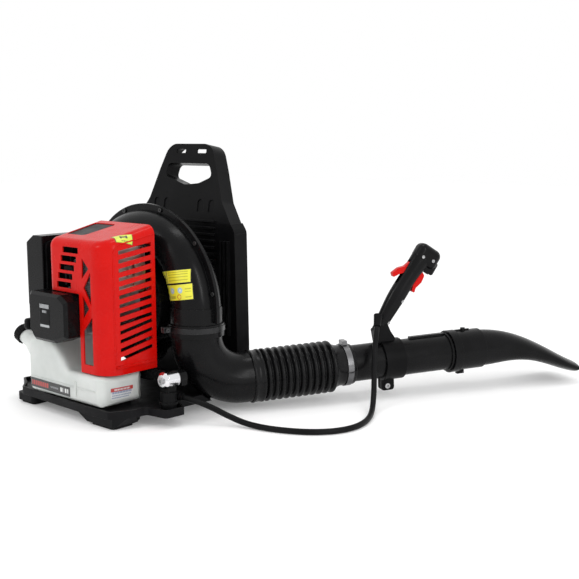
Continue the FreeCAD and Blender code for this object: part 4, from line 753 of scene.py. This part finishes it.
def notice_print(u, v):
    """A red band with pale bars over three broken blue lines."""
    if v > 0.70:
        return 2 if 0.14 < u < 0.86 and 0.78 < v < 0.92 and int(u * 44) % 3 else 1
    line = int((0.62 - v) / 0.09)
    if 0 <= line < 6 and line % 2 == 0 and 0.04 < u < (0.95, 0.9, 0.82)[line // 2] and int(u * 70 + line) % 5:
        return 3
    return 0


def starter_print(u, v):
    """Two rows of grey bars over a plain line."""
    bars = [(0.02, 0.98, 0.80, 0.96, 1)] if int(u * 30) % 4 else []
    small = [(0.28, 0.70, 0.62, 0.72, 1)] if int(u * 24) % 3 else []
    return within(u, v, bars + small + [(0.04, 0.96, 0.03, 0.13, 1)])


decal("strip_tank", "fuel_tank", vec(-56, -190, 50.5), (0, -1, 0), (0, 0, 1), 0.124, 0.018, strip_print,
      [INK, LABEL_RED, GREY_INK, PALE], turn=-0.6, cols=240, rows=20)
decal("notice_tank", "fuel_tank", vec(101, -144, 56), (1, 0, 0), (0, 0, 1), 0.050, 0.023, notice_print,
      [PALE, LABEL_RED, PALE, BLUE_INK], turn=-1.5, cols=140, rows=44)
decal("marks_starter", "starter_housing", vec(-31, -214, 194), (0, -1, 0), (0, 0, 1), 0.030, 0.046,
      starter_print, [BLACK, GREY_INK], cols=60, rows=60)

# ---------------------------------------------------------------- floor and light
FLOOR_HALF = 9  # metres
floor_material = Nodes("floor")
floor_tone = floor_material.remap(floor_material.noise(3.0, 3), 0.3, 0.7, 0.0, 1.0)
floor_material.join(floor_material.mix(floor_tone, (0.86, 0.86, 0.86), (0.88, 0.88, 0.88)),
                    floor_material.shader.inputs["Base Color"])
floor_material.shader.inputs["Roughness"].default_value = 0.8
floor_material.shader.inputs["Specular IOR Level"].default_value = 0.2
floor_material.shader.inputs["Emission Color"].default_value = (1.0, 1.0, 1.0, 1)
floor_material.shader.inputs["Emission Strength"].default_value = 0.15
floor = mesh_object("floor", [(-FLOOR_HALF, -FLOOR_HALF, 0), (FLOOR_HALF, -FLOOR_HALF, 0),
                              (FLOOR_HALF, FLOOR_HALF, 0), (-FLOOR_HALF, FLOOR_HALF, 0)],
                    [(0, 1, 2, 3)], [floor_material.material], False)

world = bpy.data.worlds.new("studio")
world.use_nodes = True
scene.world = world
background = world.node_tree.nodes["Background"]
background.inputs["Color"].default_value = (1.0, 1.0, 1.0, 1)
background.inputs["Strength"].default_value = 1.0


def softbox(name, place, target, width, height, power):
    """A rectangular light that faces its target. Sizes are in metres and power in watts."""
    light = bpy.data.lights.new(name, "AREA")
    light.shape = "RECTANGLE"
    light.size, light.size_y, light.energy = width, height, power
    obj = link(bpy.data.objects.new(name, light))
    obj.location = place
    obj.rotation_euler = (Vector(target) - Vector(place)).to_track_quat("-Z", "Y").to_euler()
    return obj


softbox("key", (-0.6, -2.2, 2.0), (0.05, 0, 0.2), 0.5, 0.5, 11)
softbox("side", (2.6, -0.4, 1.3), (0.2, 0.1, 0.2), 0.16, 1.8, 15)
softbox("top", (0.2, 0.4, 2.6), (0.2, 0.1, 0.1), 0.3, 1.2, 8)
